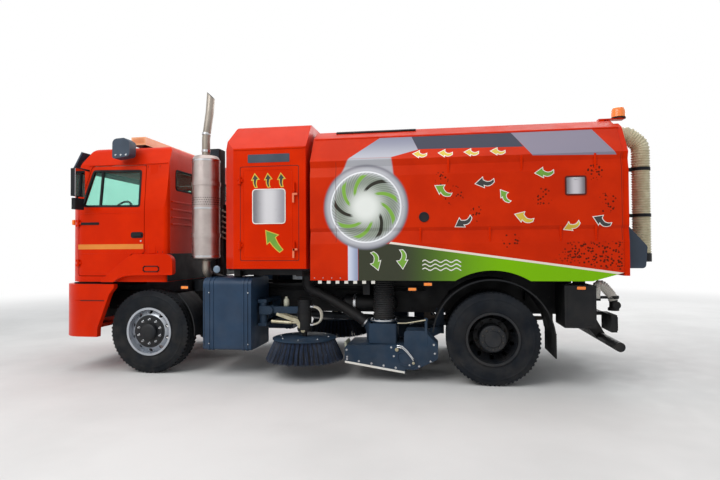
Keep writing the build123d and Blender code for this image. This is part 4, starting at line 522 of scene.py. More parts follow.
STRIPE = Finish("stripe_orange", Slot.AMBER, (228, 138, 36), (218, 126, 28), 0.35, coat=0.5, dust=0.1)
WHITE = Finish("decal_white", Slot.CREAM, (238, 236, 228), (228, 224, 214), 0.4, coat=0.4, dust=0.15)
LEAF = Finish("decal_green", Slot.AMBER, (116, 168, 44), (98, 148, 40), 0.4, coat=0.4, dust=0.1)
INK = Finish("decal_dark", Slot.TRIM, (44, 44, 44), (36, 38, 38), 0.4, coat=0.4, dust=0.1)
LEMON = Finish("decal_yellow", Slot.AMBER, (224, 196, 60), (212, 180, 50), 0.4, coat=0.4, dust=0.1)
FLOOR = Studio("studio_floor", Slot.TRIM, (226, 225, 222), (218, 217, 214), 0.8, grain=120, relief=0.0004, patch=0.6,
    dust=0.0)


def flat_xz(a: float, b: float, c: float) -> Vector:
    """X and Z outlines, carried along Y."""
    return Vector((a, c, b))


def flat_xy(a: float, b: float, c: float) -> Vector:
    """X and Y outlines, carried along Z."""
    return Vector((a, b, c))


def flat_yz(a: float, b: float, c: float) -> Vector:
    """Y and Z outlines, carried along X."""
    return Vector((c, a, b))


def rect(x0: float, z0: float, x1: float, z1: float) -> list[Point]:
    """The corners of an upright rectangle."""
    return [(x0, z0), (x1, z0), (x1, z1), (x0, z1)]


def about(x: float, z: float, half: float, high: float) -> list[Point]:
    """The corners of a rectangle round its middle."""
    return rect(x - half, z - high, x + half, z + high)


def around(count: int, radius: float, shift: float = 0.0) -> list[Point]:
    """Even places on a circle, the first of them that share of a step round."""
    turns = [math.tau * (k + shift) / count for k in range(count)]
    return [(radius * math.cos(turn), radius * math.sin(turn)) for turn in turns]


def rounded(corners: Sequence[Point], radius: float, steps: int = 4) -> list[Point]:
    """An outline with its corners rounded.

    Args:
        corners: the sharp outline.
        radius: how far back along each side the rounding starts.
        steps: points on each corner.

    Returns:
        The rounded outline.
    """
    result = []
    count = len(corners)
    for i, corner in enumerate(corners):
        here = Vector(corner)
        before = Vector(corners[i - 1]) - here
        after = Vector(corners[(i + 1) % count]) - here
        reach = min(radius, before.length * 0.45, after.length * 0.45)
        start, end = here + before.normalized() * reach, here + after.normalized() * reach
        for k in range(steps + 1):
            t = k / steps
            point = start * (1 - t) ** 2 + here * 2 * t * (1 - t) + end * t ** 2
            result.append((point.x, point.y))
    return result


def grown(outline: Sequence[Point], distance: float) -> list[Point]:
    """An outline moved outwards by a distance."""
    area = sum(p[0] * q[1] - q[0] * p[1] for p, q in zip(outline, list(outline[1:]) + [outline[0]]))
    sign = 1 if area > 0 else -1
    result = []
    for i, point in enumerate(outline):
        here = Vector(point)
        a = (here - Vector(outline[i - 1])).normalized()
        b = (Vector(outline[(i + 1) % len(outline)]) - here).normalized()
        out = Vector((a.y + b.y, -a.x - b.x)) * sign
        out = out.normalized() if out.length > 1e-6 else Vector((a.y, -a.x)) * sign
        spread = max(0.5, out.dot(Vector((a.y, -a.x)) * sign))
        result.append(tuple(here + out * (distance / spread)))
    return result


def add_to_scene(piece: bpy.types.Object) -> None:
    """Links a new object into the scene."""
    bpy.context.scene.collection.objects.link(piece)


@dataclass
class Shape:
    """The points and faces of one piece while it is put together."""

    points: list[Vector] = field(default_factory=list)
    faces: list[tuple[int, ...]] = field(default_factory=list)

    def add(self, points: Iterable[Vector], faces: Iterable[Sequence[int]]) -> "Shape":
        """Takes in more points, and faces counted from the first of them."""
        base = len(self.points)
        self.points += [Vector(p) for p in points]
        self.faces += [tuple(base + i for i in f) for f in faces]
        return self

    def plate(self, outline: Sequence[Point], low: float, high: float, place: Place = flat_xz,
            creases: Sequence[float] = ()) -> "Shape":
        """A sheet with that outline, from low to high, that follows a surface.

        Args:
            outline: rows of two places along the surface.
            low: where the sheet starts, across the surface.
            high: where it ends.
            place: turns the three numbers into a point.
            creases: second places at which the surface bends.

        Returns:
            This shape.
        """
        mesh = bmesh.new()
        mesh.faces.new([mesh.verts.new((a, 0, b)) for a, b in outline])
        for b in creases:
            everything = mesh.verts[:] + mesh.edges[:] + mesh.faces[:]
            bmesh.ops.bisect_plane(mesh, geom=everything, plane_co=(0, 0, b), plane_no=(0, 0, 1))
        mesh.verts.index_update()
        spots = [(v.co.x, v.co.z) for v in mesh.verts]
        sheet = [[v.index for v in f.verts] for f in mesh.faces]
        rim = [(e.verts[0].index, e.verts[1].index) for e in mesh.edges if e.is_boundary]
        mesh.free()
        n = len(spots)
        points = [place(a, b, low) for a, b in spots] + [place(a, b, high) for a, b in spots]
        faces = [f[::-1] for f in sheet] + [[i + n for i in f] for f in sheet]
        return self.add(points, faces + [(a, b, b + n, a + n) for a, b in rim])

    def plates(self, outlines: Iterable[Sequence[Point]], low: float, high: float, place: Place = flat_xz,
            creases: Sequence[float] = ()) -> "Shape":
        """Several sheets alike."""
        for outline in outlines:
            self.plate(outline, low, high, place, creases)
        return self

    def frame(self, outline: Sequence[Point], width: float, low: float, high: float,
            place: Place = flat_xz) -> "Shape":
        """A closed strip of that width outside an outline."""
        n = len(outline)
        wide = grown(outline, width)
        loops = ((outline, low), (wide, low), (wide, high), (outline, high))
        points = [place(a, b, c) for loop, c in loops for a, b in loop]
        pairs = [(k * n, (k + 1) % 4 * n, i, (i + 1) % n) for k in range(4) for i in range(n)]
        return self.add(points, [(a + i, a + j, b + j, b + i) for a, b, i, j in pairs])

    def box(self, x: Point, y: Point, z: Point) -> "Shape":
        """A block between low and high values."""
        return self.plate(rect(x[0], z[0], x[1], z[1]), y[0], y[1])

    def turned(self, profile: Sequence[Point], centre: Sequence[float], axis: Sequence[float] = UP,
            steps: int = 32) -> "Shape":
        """A turned piece.

        Args:
            profile: rows of radius and distance along the axis; a closed one where no end has radius 0.
            centre: where the distances start.
            axis: the direction of the axis.
            steps: points round it.

        Returns:
            This shape.
        """
        turn = Vector(UP).rotation_difference(Vector(axis).normalized()).to_matrix()
        points: list[Vector] = []
        rings: list[list[int]] = []
        for radius, along in profile:
            count = 1 if radius < 1e-6 else steps
            rings.append(list(range(len(points), len(points) + count)))
            for k in range(count):
                angle = math.tau * k / steps
                local = Vector((radius * math.cos(angle), radius * math.sin(angle), along))
                points.append(Vector(centre) + turn @ local)
        pairs = list(zip(rings, rings[1:]))
        if len(rings[0]) > 1 and len(rings[-1]) > 1:
            pairs.append((rings[-1], rings[0]))
        faces = []
        for a, b in pairs:
            for k in range(steps):
                j = (k + 1) % steps
                if len(a) == 1:
                    faces.append((a[0], b[j], b[k]))
                elif len(b) == 1:
                    faces.append((a[k], a[j], b[0]))
                else:
                    faces.append((a[k], a[j], b[j], b[k]))
        return self.add(points, faces)

    def pipe(self, path: Sequence[Sequence[float]], radius: float, sides: int = 10) -> "Shape":
        """A round bar or pipe along a path of points, closed at both ends."""
        spots = [Vector(p) for p in path]
        normal = None
        points: list[Vector] = []
        for i, spot in enumerate(spots):
            before = spots[max(i - 1, 0)]
            after = spots[min(i + 1, len(spots) - 1)]
            way = (after - before).normalized()
            if normal is None:
                normal = way.orthogonal().normalized()
            normal = (normal - way * normal.dot(way)).normalized()
            side = way.cross(normal)
            for k in range(sides):
                angle = math.tau * k / sides
                points.append(spot + (normal * math.cos(angle) + side * math.sin(angle)) * radius)
        faces: list[Sequence[int]] = [tuple(range(sides))[::-1]]
        for i in range(len(spots) - 1):
            for k in range(sides):
                j = (k + 1) % sides
                faces.append((i * sides + k, i * sides + j, (i + 1) * sides + j, (i + 1) * sides + k))
        last = (len(spots) - 1) * sides
        return self.add(points, faces + [tuple(range(last, last + sides))])

    def twin(self) -> "Shape":
        """This shape with its mirror image across the truck."""
        return self.add([Vector((p.x, -p.y, p.z)) for p in self.points], [f[::-1] for f in self.faces])

    def mirrored(self, sign: int) -> "Shape":
        """This shape, or its mirror image when sign is 1."""
        if sign > 0:
            self.points = [Vector((p.x, -p.y, p.z)) for p in self.points]
            self.faces = [f[::-1] for f in self.faces]
        return self

    def mesh(self, name: str) -> bpy.types.Mesh:
        """The mesh, with its faces outwards and its hard edges sharp."""
        data = bpy.data.meshes.new(name)
        data.from_pydata(self.points, [], self.faces)
        work = bmesh.new()
        work.from_mesh(data)
        bmesh.ops.remove_doubles(work, verts=work.verts, dist=1e-5)
        bmesh.ops.recalc_face_normals(work, faces=work.faces)
        work.to_mesh(data)
        work.free()
        data.shade_smooth()
        data.set_sharp_from_angle(angle=HARD_EDGE)
        return data

    def made(self, name: str, finish: Finish, body: str, bevel: float = 0.0) -> bpy.types.Object:
        """The piece itself, dressed and riding on its body.

        Args:
            name: the piece's name.
            finish: its finish.
            body: the CAD body that it moves with.
            bevel: how far its hard edges are rounded, or 0.

        Returns:
            The object.
        """
        piece = bpy.data.objects.new(name, self.mesh(name))
        add_to_scene(piece)
        if bevel:
            soft = piece.modifiers.new("edges", "BEVEL")
            soft.width, soft.segments, soft.limit_method = bevel, 2, "ANGLE"
        return dressed(piece, finish, body)


def dressed(piece: bpy.types.Object, finish: Finish, body: str) -> bpy.types.Object:
    """Gives a new piece its finish and body."""
    piece.data.materials.clear()
    piece.data.materials.append(finish.material())
    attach(piece, body)
    report(piece)
    return piece


def report(piece: bpy.types.Object) -> None:
    """Logs a piece's name, its number of faces and its box."""
    spots = [v.co for v in piece.data.vertices]
    low = [round(min(p[k] for p in spots), 3) for k in range(3)]
    high = [round(max(p[k] for p in spots), 3) for k in range(3)]
    LOG.info("%s: %d faces, %s to %s", piece.name, len(piece.data.polygons), low, high)


def clothe(node: str, finish: Finish, *zones: tuple[Finish, Callable[[Vector], bool]]) -> None:
    """Gives a CAD node its finish, and other finishes to the faces of its zones.

    Args:
        node: the CAD node.
        finish: the finish of most of it.
        zones: finishes, each with a test of a face's middle.
    """
    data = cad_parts[node].data
    data.materials.clear()
    for each in (finish, *(zone for zone, _ in zones)):
        data.materials.append(each.material())
    for face in data.polygons:
        face.material_index = 0
        for index, (_, test) in enumerate(zones):
            if test(face.center):
                face.material_index = index + 1


class Grower(Tree):
    """A Geometry Nodes tree with named inputs, ending in real faces with their finish set."""

    def __init__(self, name: str, inputs: dict[str, str]) -> None:
        """Starts the tree with a geometry input and these."""
        super().__init__(bpy.data.node_groups.new(name, "GeometryNodeTree"))
        ports = self.tree.interface
        ports.new_socket("Geometry", in_out="OUTPUT", socket_type="NodeSocketGeometry")
        for label, kind in {"Geometry": "Geometry", **inputs, "Finish": "Material"}.items():
            ports.new_socket(label, in_out="INPUT", socket_type="NodeSocket" + kind)
        self.given = self.node("NodeGroupInput").outputs
        self.out = self.node("NodeGroupOutput")

    def random(self, low: float, high: float, seed: Any) -> Any:
        """A random number for each element."""
        made = self.node("FunctionNodeRandomValue", {"data_type": "FLOAT"}, Seed=seed)
        made.inputs[2].default_value, made.inputs[3].default_value = low, high
        return made.outputs[1]

    def close(self, geometry: Any) -> None:
        """Ends the tree."""
        real = self.node("GeometryNodeRealizeInstances", None, geometry).outputs[0]
        finished = self.node("GeometryNodeSetMaterial", None, real, Material=self.given["Finish"])
        self.put(self.out.inputs[0], finished.outputs[0])

    def grow(self, carrier: bpy.types.Object, name: str, finish: Finish, body: str | None,
            **values: Any) -> bpy.types.Object:
        """Runs the tree once on a carrier and keeps the result as a plain mesh.

        Args:
            carrier: the object that the tree starts from; it is used up.
            name: the new piece's name.
            finish: its finish.
            body: the body that it rides on, or None to leave that for later.
            values: the tree's inputs by name, with _ for a space.

        Returns:
            The new piece.
        """
        add_to_scene(carrier)
        modifier = carrier.modifiers.new("grow", "NODES")
        modifier.node_group = self.tree
        sockets = {s.name: s.identifier for s in self.tree.interface.items_tree if s.in_out == "INPUT"}
        modifier[sockets["Finish"]] = finish.material()
        for label, value in values.items():
            modifier[sockets[label.replace("_", " ")]] = value
        carrier.update_tag()
        evaluated = carrier.evaluated_get(bpy.context.evaluated_depsgraph_get())
        data = bpy.data.meshes.new_from_object(evaluated)
        carrier.modifiers.remove(modifier)
        bpy.data.objects.remove(carrier)
        data.name = name
        data.set_sharp_from_angle(angle=HARD_GROWN_EDGE)
        piece = bpy.data.objects.new(name, data)
        add_to_scene(piece)
        if body is None:
            data.materials.clear()
            data.materials.append(finish.material())
            return piece
        return dressed(piece, finish, body)


@dataclass(frozen=True)
class Spot:
    """A place for one small repeated shape: where it sits, which way its top faces, and its size."""

    at: Triple
    facing: Triple = LEFT
    size: float = 1.0


class Scatter(Grower):
    """Sets a small shape on every point of a carrier, its top along the point's facing."""

    def __init__(self) -> None:
        """Builds the tree."""
        super().__init__("small_parts", {"Shape": "Object", "Size": "Float", "Lean": "Float", "Seed": "Int"})
        shape = self.node("GeometryNodeObjectInfo", Object=self.given["Shape"]).outputs["Geometry"]
        turn = self.node("GeometryNodeInputNamedAttribute", {"data_type": "FLOAT_VECTOR"}, Name="turn").outputs[0]
        grow = self.node("GeometryNodeInputNamedAttribute", {"data_type": "FLOAT"}, Name="size").outputs[0]
        lean = self.math("MULTIPLY", self.random(-1.0, 1.0, self.given["Seed"]), self.given["Lean"])
        tilt = self.node("ShaderNodeCombineXYZ", None, lean, lean, lean).outputs[0]
        whole = self.node("ShaderNodeVectorMath", {"operation": "ADD"}, turn, tilt).outputs[0]
        scale = self.math("MULTIPLY", grow, self.given["Size"])
        spread = self.node("GeometryNodeInstanceOnPoints", None, self.given["Geometry"], Instance=shape,
            Rotation=whole, Scale=scale)
        self.close(spread.outputs[0])

    def spread(self, name: str, finish: Finish, body: str, template: Shape, spots: Sequence[Spot], size: float = 1.0,
            lean: float = 0.0, seed: int = 1) -> bpy.types.Object:
        """One piece with a copy of the template on every spot.

        Args:
            name: the piece's name.
            finish: its finish.
            body: the body that it rides on.
            template: the small shape, its top along Z.
            spots: the places.
            size: scale of all of them.
            lean: random turn, in radians.
            seed: the seed of that turn.

        Returns:
            The piece.
        """
        data = bpy.data.meshes.new(name + "_spots")
        data.from_pydata([s.at for s in spots], [], [])
        data.attributes.new("turn", "FLOAT_VECTOR", "POINT")
        data.attributes.new("size", "FLOAT", "POINT")
        turns, sizes = data.attributes["turn"], data.attributes["size"]
        for i, spot in enumerate(spots):
            turn = Vector(spot.facing).to_track_quat("Z", "Y").to_euler()
            turns.data[i].vector = (turn.x, turn.y, turn.z)
            sizes.data[i].value = spot.size
        model = bpy.data.objects.new(name + "_one", template.mesh(name + "_one"))
        add_to_scene(model)
        carrier = bpy.data.objects.new(name + "_carrier", data)
        piece = self.grow(carrier, name, finish, body, Shape=model, Size=size, Lean=lean, Seed=seed)
        bpy.data.objects.remove(model)
        return piece


class RibbedHose(Grower):
    """A hose along a curve, with rings pressed out of it at an even pitch."""

    def __init__(self) -> None:
        """Builds the tree."""
        super().__init__("ribbed_hose", {"Radius": "Float", "Rib": "Float", "Pitch": "Float", "Sides": "Int"})
        step = self.math("DIVIDE", self.given["Pitch"], 6.0)
        fine = self.node("GeometryNodeResampleCurve", {"mode": "LENGTH"}, self.given["Geometry"], Length=step)
        along = self.node("GeometryNodeSplineParameter").outputs["Length"]
        wave = self.math("SINE", self.math("MULTIPLY", self.math("DIVIDE", along, self.given["Pitch"]), math.tau))
        bulge = self.math("MULTIPLY", wave, self.given["Rib"])
        reach = self.math("ADD", self.given["Radius"], bulge)
        sized = self.node("GeometryNodeSetCurveRadius", None, fine.outputs[0], Radius=reach)
        ring = self.node("GeometryNodeCurvePrimitiveCircle", Resolution=self.given["Sides"], Radius=1.0)
        body = self.node("GeometryNodeCurveToMesh", None, sized.outputs[0], ring.outputs[0])
        for socket in body.inputs:
            if socket.name == "Scale":
                self.put(socket, self.node("GeometryNodeInputRadius").outputs[0])
            if socket.name == "Fill Caps":
                socket.default_value = True
        smooth = self.node("GeometryNodeSetShadeSmooth", None, body.outputs[0])
        self.close(smooth.outputs[0])

    def lay(self, name: str, finish: Finish, body: str | None, path: Sequence[Sequence[float]], radius: float,
            rib: float, pitch: float, sides: int = 24) -> bpy.types.Object:
        """One hose.

        Args:
            name: the piece's name.
            finish: its finish.
            body: the body that it rides on, or None.
            path: the control points of its line.
            radius: its middle radius.
            rib: half the height of its ribs.
            pitch: from rib to rib.
            sides: points round it.

        Returns:
            The hose.
        """
        line = bpy.data.curves.new(name + "_line", "CURVE")
        line.dimensions = "3D"
        line.resolution_u = 16
        spline = line.splines.new("NURBS")
        spline.points.add(len(path) - 1)
        for point, spot in zip(spline.points, path):
            point.co = (*spot, 1.0)
        spline.order_u = 3
        spline.use_endpoint_u = True
        carrier = bpy.data.objects.new(name + "_carrier", line)
        return self.grow(carrier, name, finish, body, Radius=radius, Rib=rib, Pitch=pitch, Sides=sides)


class BristleRing(Grower):
    """Tapered bristles in rings under a round plate, splayed outwards."""

    def __init__(self) -> None:
        """Builds the tree."""
        super().__init__("bristle_ring", {"Count": "Int", "Rings": "Int", "Radius": "Float", "Ring Step": "Float",
            "Length": "Float", "Splay": "Float", "Thickness": "Float", "Seed": "Int"})
        index = self.node("GeometryNodeInputIndex").outputs[0]
        ring = self.math("MODULO", index, self.given["Rings"])
        seed = self.given["Seed"]
        angle = self.math("MULTIPLY", self.math("DIVIDE", index, self.given["Count"]), math.tau)
        angle = self.math("ADD", angle, self.random(-0.012, 0.012, seed))
        reach = self.math("SUBTRACT", self.given["Radius"], self.math("MULTIPLY", ring, self.given["Ring Step"]))
        x = self.math("MULTIPLY", reach, self.math("COSINE", angle))
        y = self.math("MULTIPLY", reach, self.math("SINE", angle))
        spot = self.node("ShaderNodeCombineXYZ", None, x, y, 0.0).outputs[0]
        cloud = self.node("GeometryNodePoints", None, self.given["Count"], spot)
        thick = self.given["Thickness"]
        cone = self.node("GeometryNodeMeshCone", {"fill_type": "NGON"}, Vertices=4, Side_Segments=2,
            Radius_Bottom=thick, Radius_Top=self.math("MULTIPLY", thick, 0.55), Depth=self.given["Length"])
        stray = self.random(-0.05, 0.05, self.math("ADD", seed, 3.0))
        lean = self.math("SUBTRACT", math.pi, self.math("ADD", self.given["Splay"], stray))
        turn = self.node("ShaderNodeCombineXYZ", None, 0.0, lean, angle).outputs[0]
        size = self.random(0.94, 1.0, self.math("ADD", seed, 7.0))
        spread = self.node("GeometryNodeInstanceOnPoints", None, cloud.outputs[0], Instance=cone.outputs[0],
            Rotation=turn, Scale=size)
        self.close(spread.outputs[0])


SCATTER = Scatter()
RIBBED = RibbedHose()
BRISTLES = BristleRing()


def hex_bolt() -> Shape:
    """A hexagon head with its washer, 10 mm across at size 1."""
    head = [(0, 0.0012), (0.0052, 0.0012), (0.0052, 0.0042), (0.0045, 0.005), (0, 0.005)]
    return Shape().turned(rect(0, 0, 0.0068, 0.0012), ORIGIN, steps=12).turned(head, ORIGIN, steps=6)


def dome_rivet() -> Shape:
    """A round head, 8 mm across at size 1."""
    return Shape().turned([(0, 0), (0.004, 0), (0.0036, 0.0014), (0.002, 0.0024), (0, 0.0027)], ORIGIN, steps=10)


def row(start: Sequence[float], end: Sequence[float], count: int, facing: Sequence[float] = LEFT,
        size: float = 1.0) -> list[Spot]:
    """Spots at an even pitch from start to end."""
    a, b = Vector(start), Vector(end)
    return [Spot(tuple(a.lerp(b, k / max(1, count - 1))), tuple(facing), size) for k in range(count)]


def both_sides(spots: Iterable[Spot]) -> list[Spot]:
    """Spots with their mirror images across the truck."""
    result = list(spots)
    result += [Spot((s.at[0], -s.at[1], s.at[2]), (s.facing[0], -s.facing[1], s.facing[2]), s.size) for s in result]
    return result


@dataclass(frozen=True)
class Side:
    """One side of the truck and the body there that pieces ride on."""

    name: str
    sign: int
    part: str

    @property
    def body(self) -> str:
        """The body's name."""
        return f"{self.name}_{self.part}"

    def made(self, name: str, shape: Shape, finish: Finish, bevel: float = 0.0) -> bpy.types.Object:
        """A piece from a left-hand shape, mirrored on the right side."""
        return shape.mirrored(self.sign).made(f"{name}_{self.name}", finish, self.body, bevel)

    def spread(self, name: str, finish: Finish, template: Shape, spots: Iterable[Spot]) -> None:
        """Copies of a small shape on left-hand spots, mirrored on the right side."""
        every = both_sides(spots)
        half = len(every) // 2
        mine = every[half:] if self.sign > 0 else every[:half]
        SCATTER.spread(f"{name}_{self.name}", finish, self.body, template, mine)


def both(part: str) -> list[Side]:
    """The left side and the right one."""
    return [Side(name, sign, part) for name, sign in SIDES]


@dataclass
class Wheels:
    """Tyres with their tread, and what is bolted to the rims."""

    tyre_radius: float = 0.522
    bead_radius: float = 0.291
    half_width: float = 0.1473
    tread_half: float = 0.118
    lug_count: int = 64
    lug_height: float = 0.0195
    lug_foot: float = 0.0205
    lug_middle: float = 0.1015
    nuts: int = 10
    front_y: float = 1.025
    twin_y: tuple[float, float] = (1.0875, 0.7575)
    front_face: float = 1.137
    hub_face: float = 1.175
    rear_face: float = 0.9385
    rear_hub_face: float = 1.195

    def profile(self) -> list[Point]:
        """Half sections of the tyre from bead to bead, as radius and distance across."""
        r, w = self.tyre_radius, self.half_width
        half = [(self.bead_radius, 0.1), (self.bead_radius + 0.003, 0.121), (0.306, 0.128), (0.312, 0.127),
            (0.33, 0.136), (0.36, 0.144), (0.395, w), (0.425, 0.1465), (0.44, 0.1435), (0.444, 0.1452),
            (0.45, 0.1452), (0.454, 0.142), (0.48, 0.1365), (0.5, 0.13), (r - 0.011, 0.124),
            (r - 0.01, self.tread_half), (r - 0.01, 0.074), (r - 0.0015, 0.07), (r - 0.0005, 0.048),
            (r - 0.01, 0.045), (r - 0.01, 0.036), (r - 0.0005, 0.032)]
        return half + [(a, -b) for a, b in reversed(half)]

    def lugs(self, x: float, ys: Sequence[float]) -> list[Spot]:
        """Tread blocks on both shoulders of each tyre."""
        spots = []
        for y in ys:
            for k in range(self.lug_count):
                for sign, shift in ((-1, 0.25), (1, 0.75)):
                    turn = math.tau * (k + shift) / self.lug_count
                    way = (math.cos(turn), 0.0, math.sin(turn))
                    reach = self.tyre_radius - self.lug_foot
                    at = (x + way[0] * reach, y + sign * self.lug_middle, WHEEL_Z + way[2] * reach)
                    spots.append(Spot(at, way))
        return spots

    def lug(self) -> Shape:
        """One tread block, its top along Z."""
        outline = [(-0.014, -0.023), (0.013, -0.023), (0.016, 0.0), (0.012, 0.023), (-0.015, 0.023), (-0.012, 0.0)]
        return Shape().plate(outline, 0.0, self.lug_height, lambda a, b, c: Vector((b * 0.98, a * 0.82, c)))

    def build(self) -> None:
        """Makes and dresses all six wheels."""
        for side, sign in SIDES:
            sets = (("front", AXLE_F, [sign * self.front_y], TYRE_F, f"tyre_front_{side}"),
                ("rear", AXLE_R, [sign * y for y in self.twin_y], TYRE_R, f"tyres_rear_{side}"))
            for where, x, ys, finish, node in sets:
                shape = Shape()
                for y in ys:
                    shape.turned(self.profile(), (x, y, WHEEL_Z), (0, 1, 0), 96)
                body = f"{side}_{where}_wheel"
                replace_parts(shape.made(f"tyre_{where}_{side}", finish, body), node)
                SCATTER.spread(f"tread_{where}_{side}", finish, body, self.lug(), self.lugs(x, ys))
            clothe(f"rim_front_{side}", SILVER, (WHEEL_DARK, lambda c: math.hypot(c.x - AXLE_F, c.z - WHEEL_Z) < 0.2))
            clothe(f"rims_rear_{side}", WHEEL_DARK)
            self.hubs(side, sign)

    def hubs(self, side: str, sign: int) -> None:
        """Nuts, hub plates and covers of one side."""
        out = (0, sign, 0)
        ring = [(0.1, 0.0), (0.172, 0.0), (0.177, 0.004), (0.172, 0.008), (0.1, 0.008)]
        cap = [(0, 0), (0.098, 0), (0.098, 0.008), (0.086, 0.016), (0.05, 0.02), (0, 0.021)]
        plate = Shape().turned(ring, (AXLE_F, sign * self.front_face, WHEEL_Z), out, 64)
        plate.turned(cap, (AXLE_F, sign * (self.hub_face - 0.001), WHEEL_Z), out, 48)
        plate.made(f"hub_plate_front_{side}", WHEEL_DARK, f"{side}_front_wheel", 0.001)
        bell = [(0, 0), (0.15, 0), (0.15, 0.006), (0.138, 0.018), (0.096, 0.022), (0.088, 0.034), (0, 0.036)]
        cover = Shape().turned(bell, (AXLE_R, sign * (self.rear_hub_face - 0.001), WHEEL_Z), out, 48)
        cover.made(f"hub_cover_rear_{side}", WHEEL_DARK, f"{side}_rear_wheel", 0.001)
        outline = [(0, -0.004), (0.018, -0.004), (0.018, 0.002), (0.0145, 0.004), (0.0145, 0.019), (0.011, 0.026),
            (0, 0.028)]
        nut = Shape().turned(outline, ORIGIN, steps=12)
        rings = (("wheel_nuts_front", AXLE_F, self.front_face + 0.008, 0.15, 0.85, BRIGHT, "front"),
            ("wheel_nuts_rear", AXLE_R, self.rear_face, 0.178, 1.0, CASTING, "rear"),
            ("hub_bolts_rear", AXLE_R, self.rear_hub_face + 0.018, 0.116, 0.6, CASTING, "rear"))
        for name, x, y, radius, size, finish, where in rings:
            spots = [Spot((x + a, sign * y, WHEEL_Z + b), out, size) for a, b in around(self.nuts, radius, 0.5)]
            SCATTER.spread(f"{name}_{side}", finish, f"{side}_{where}_wheel", nut, spots)


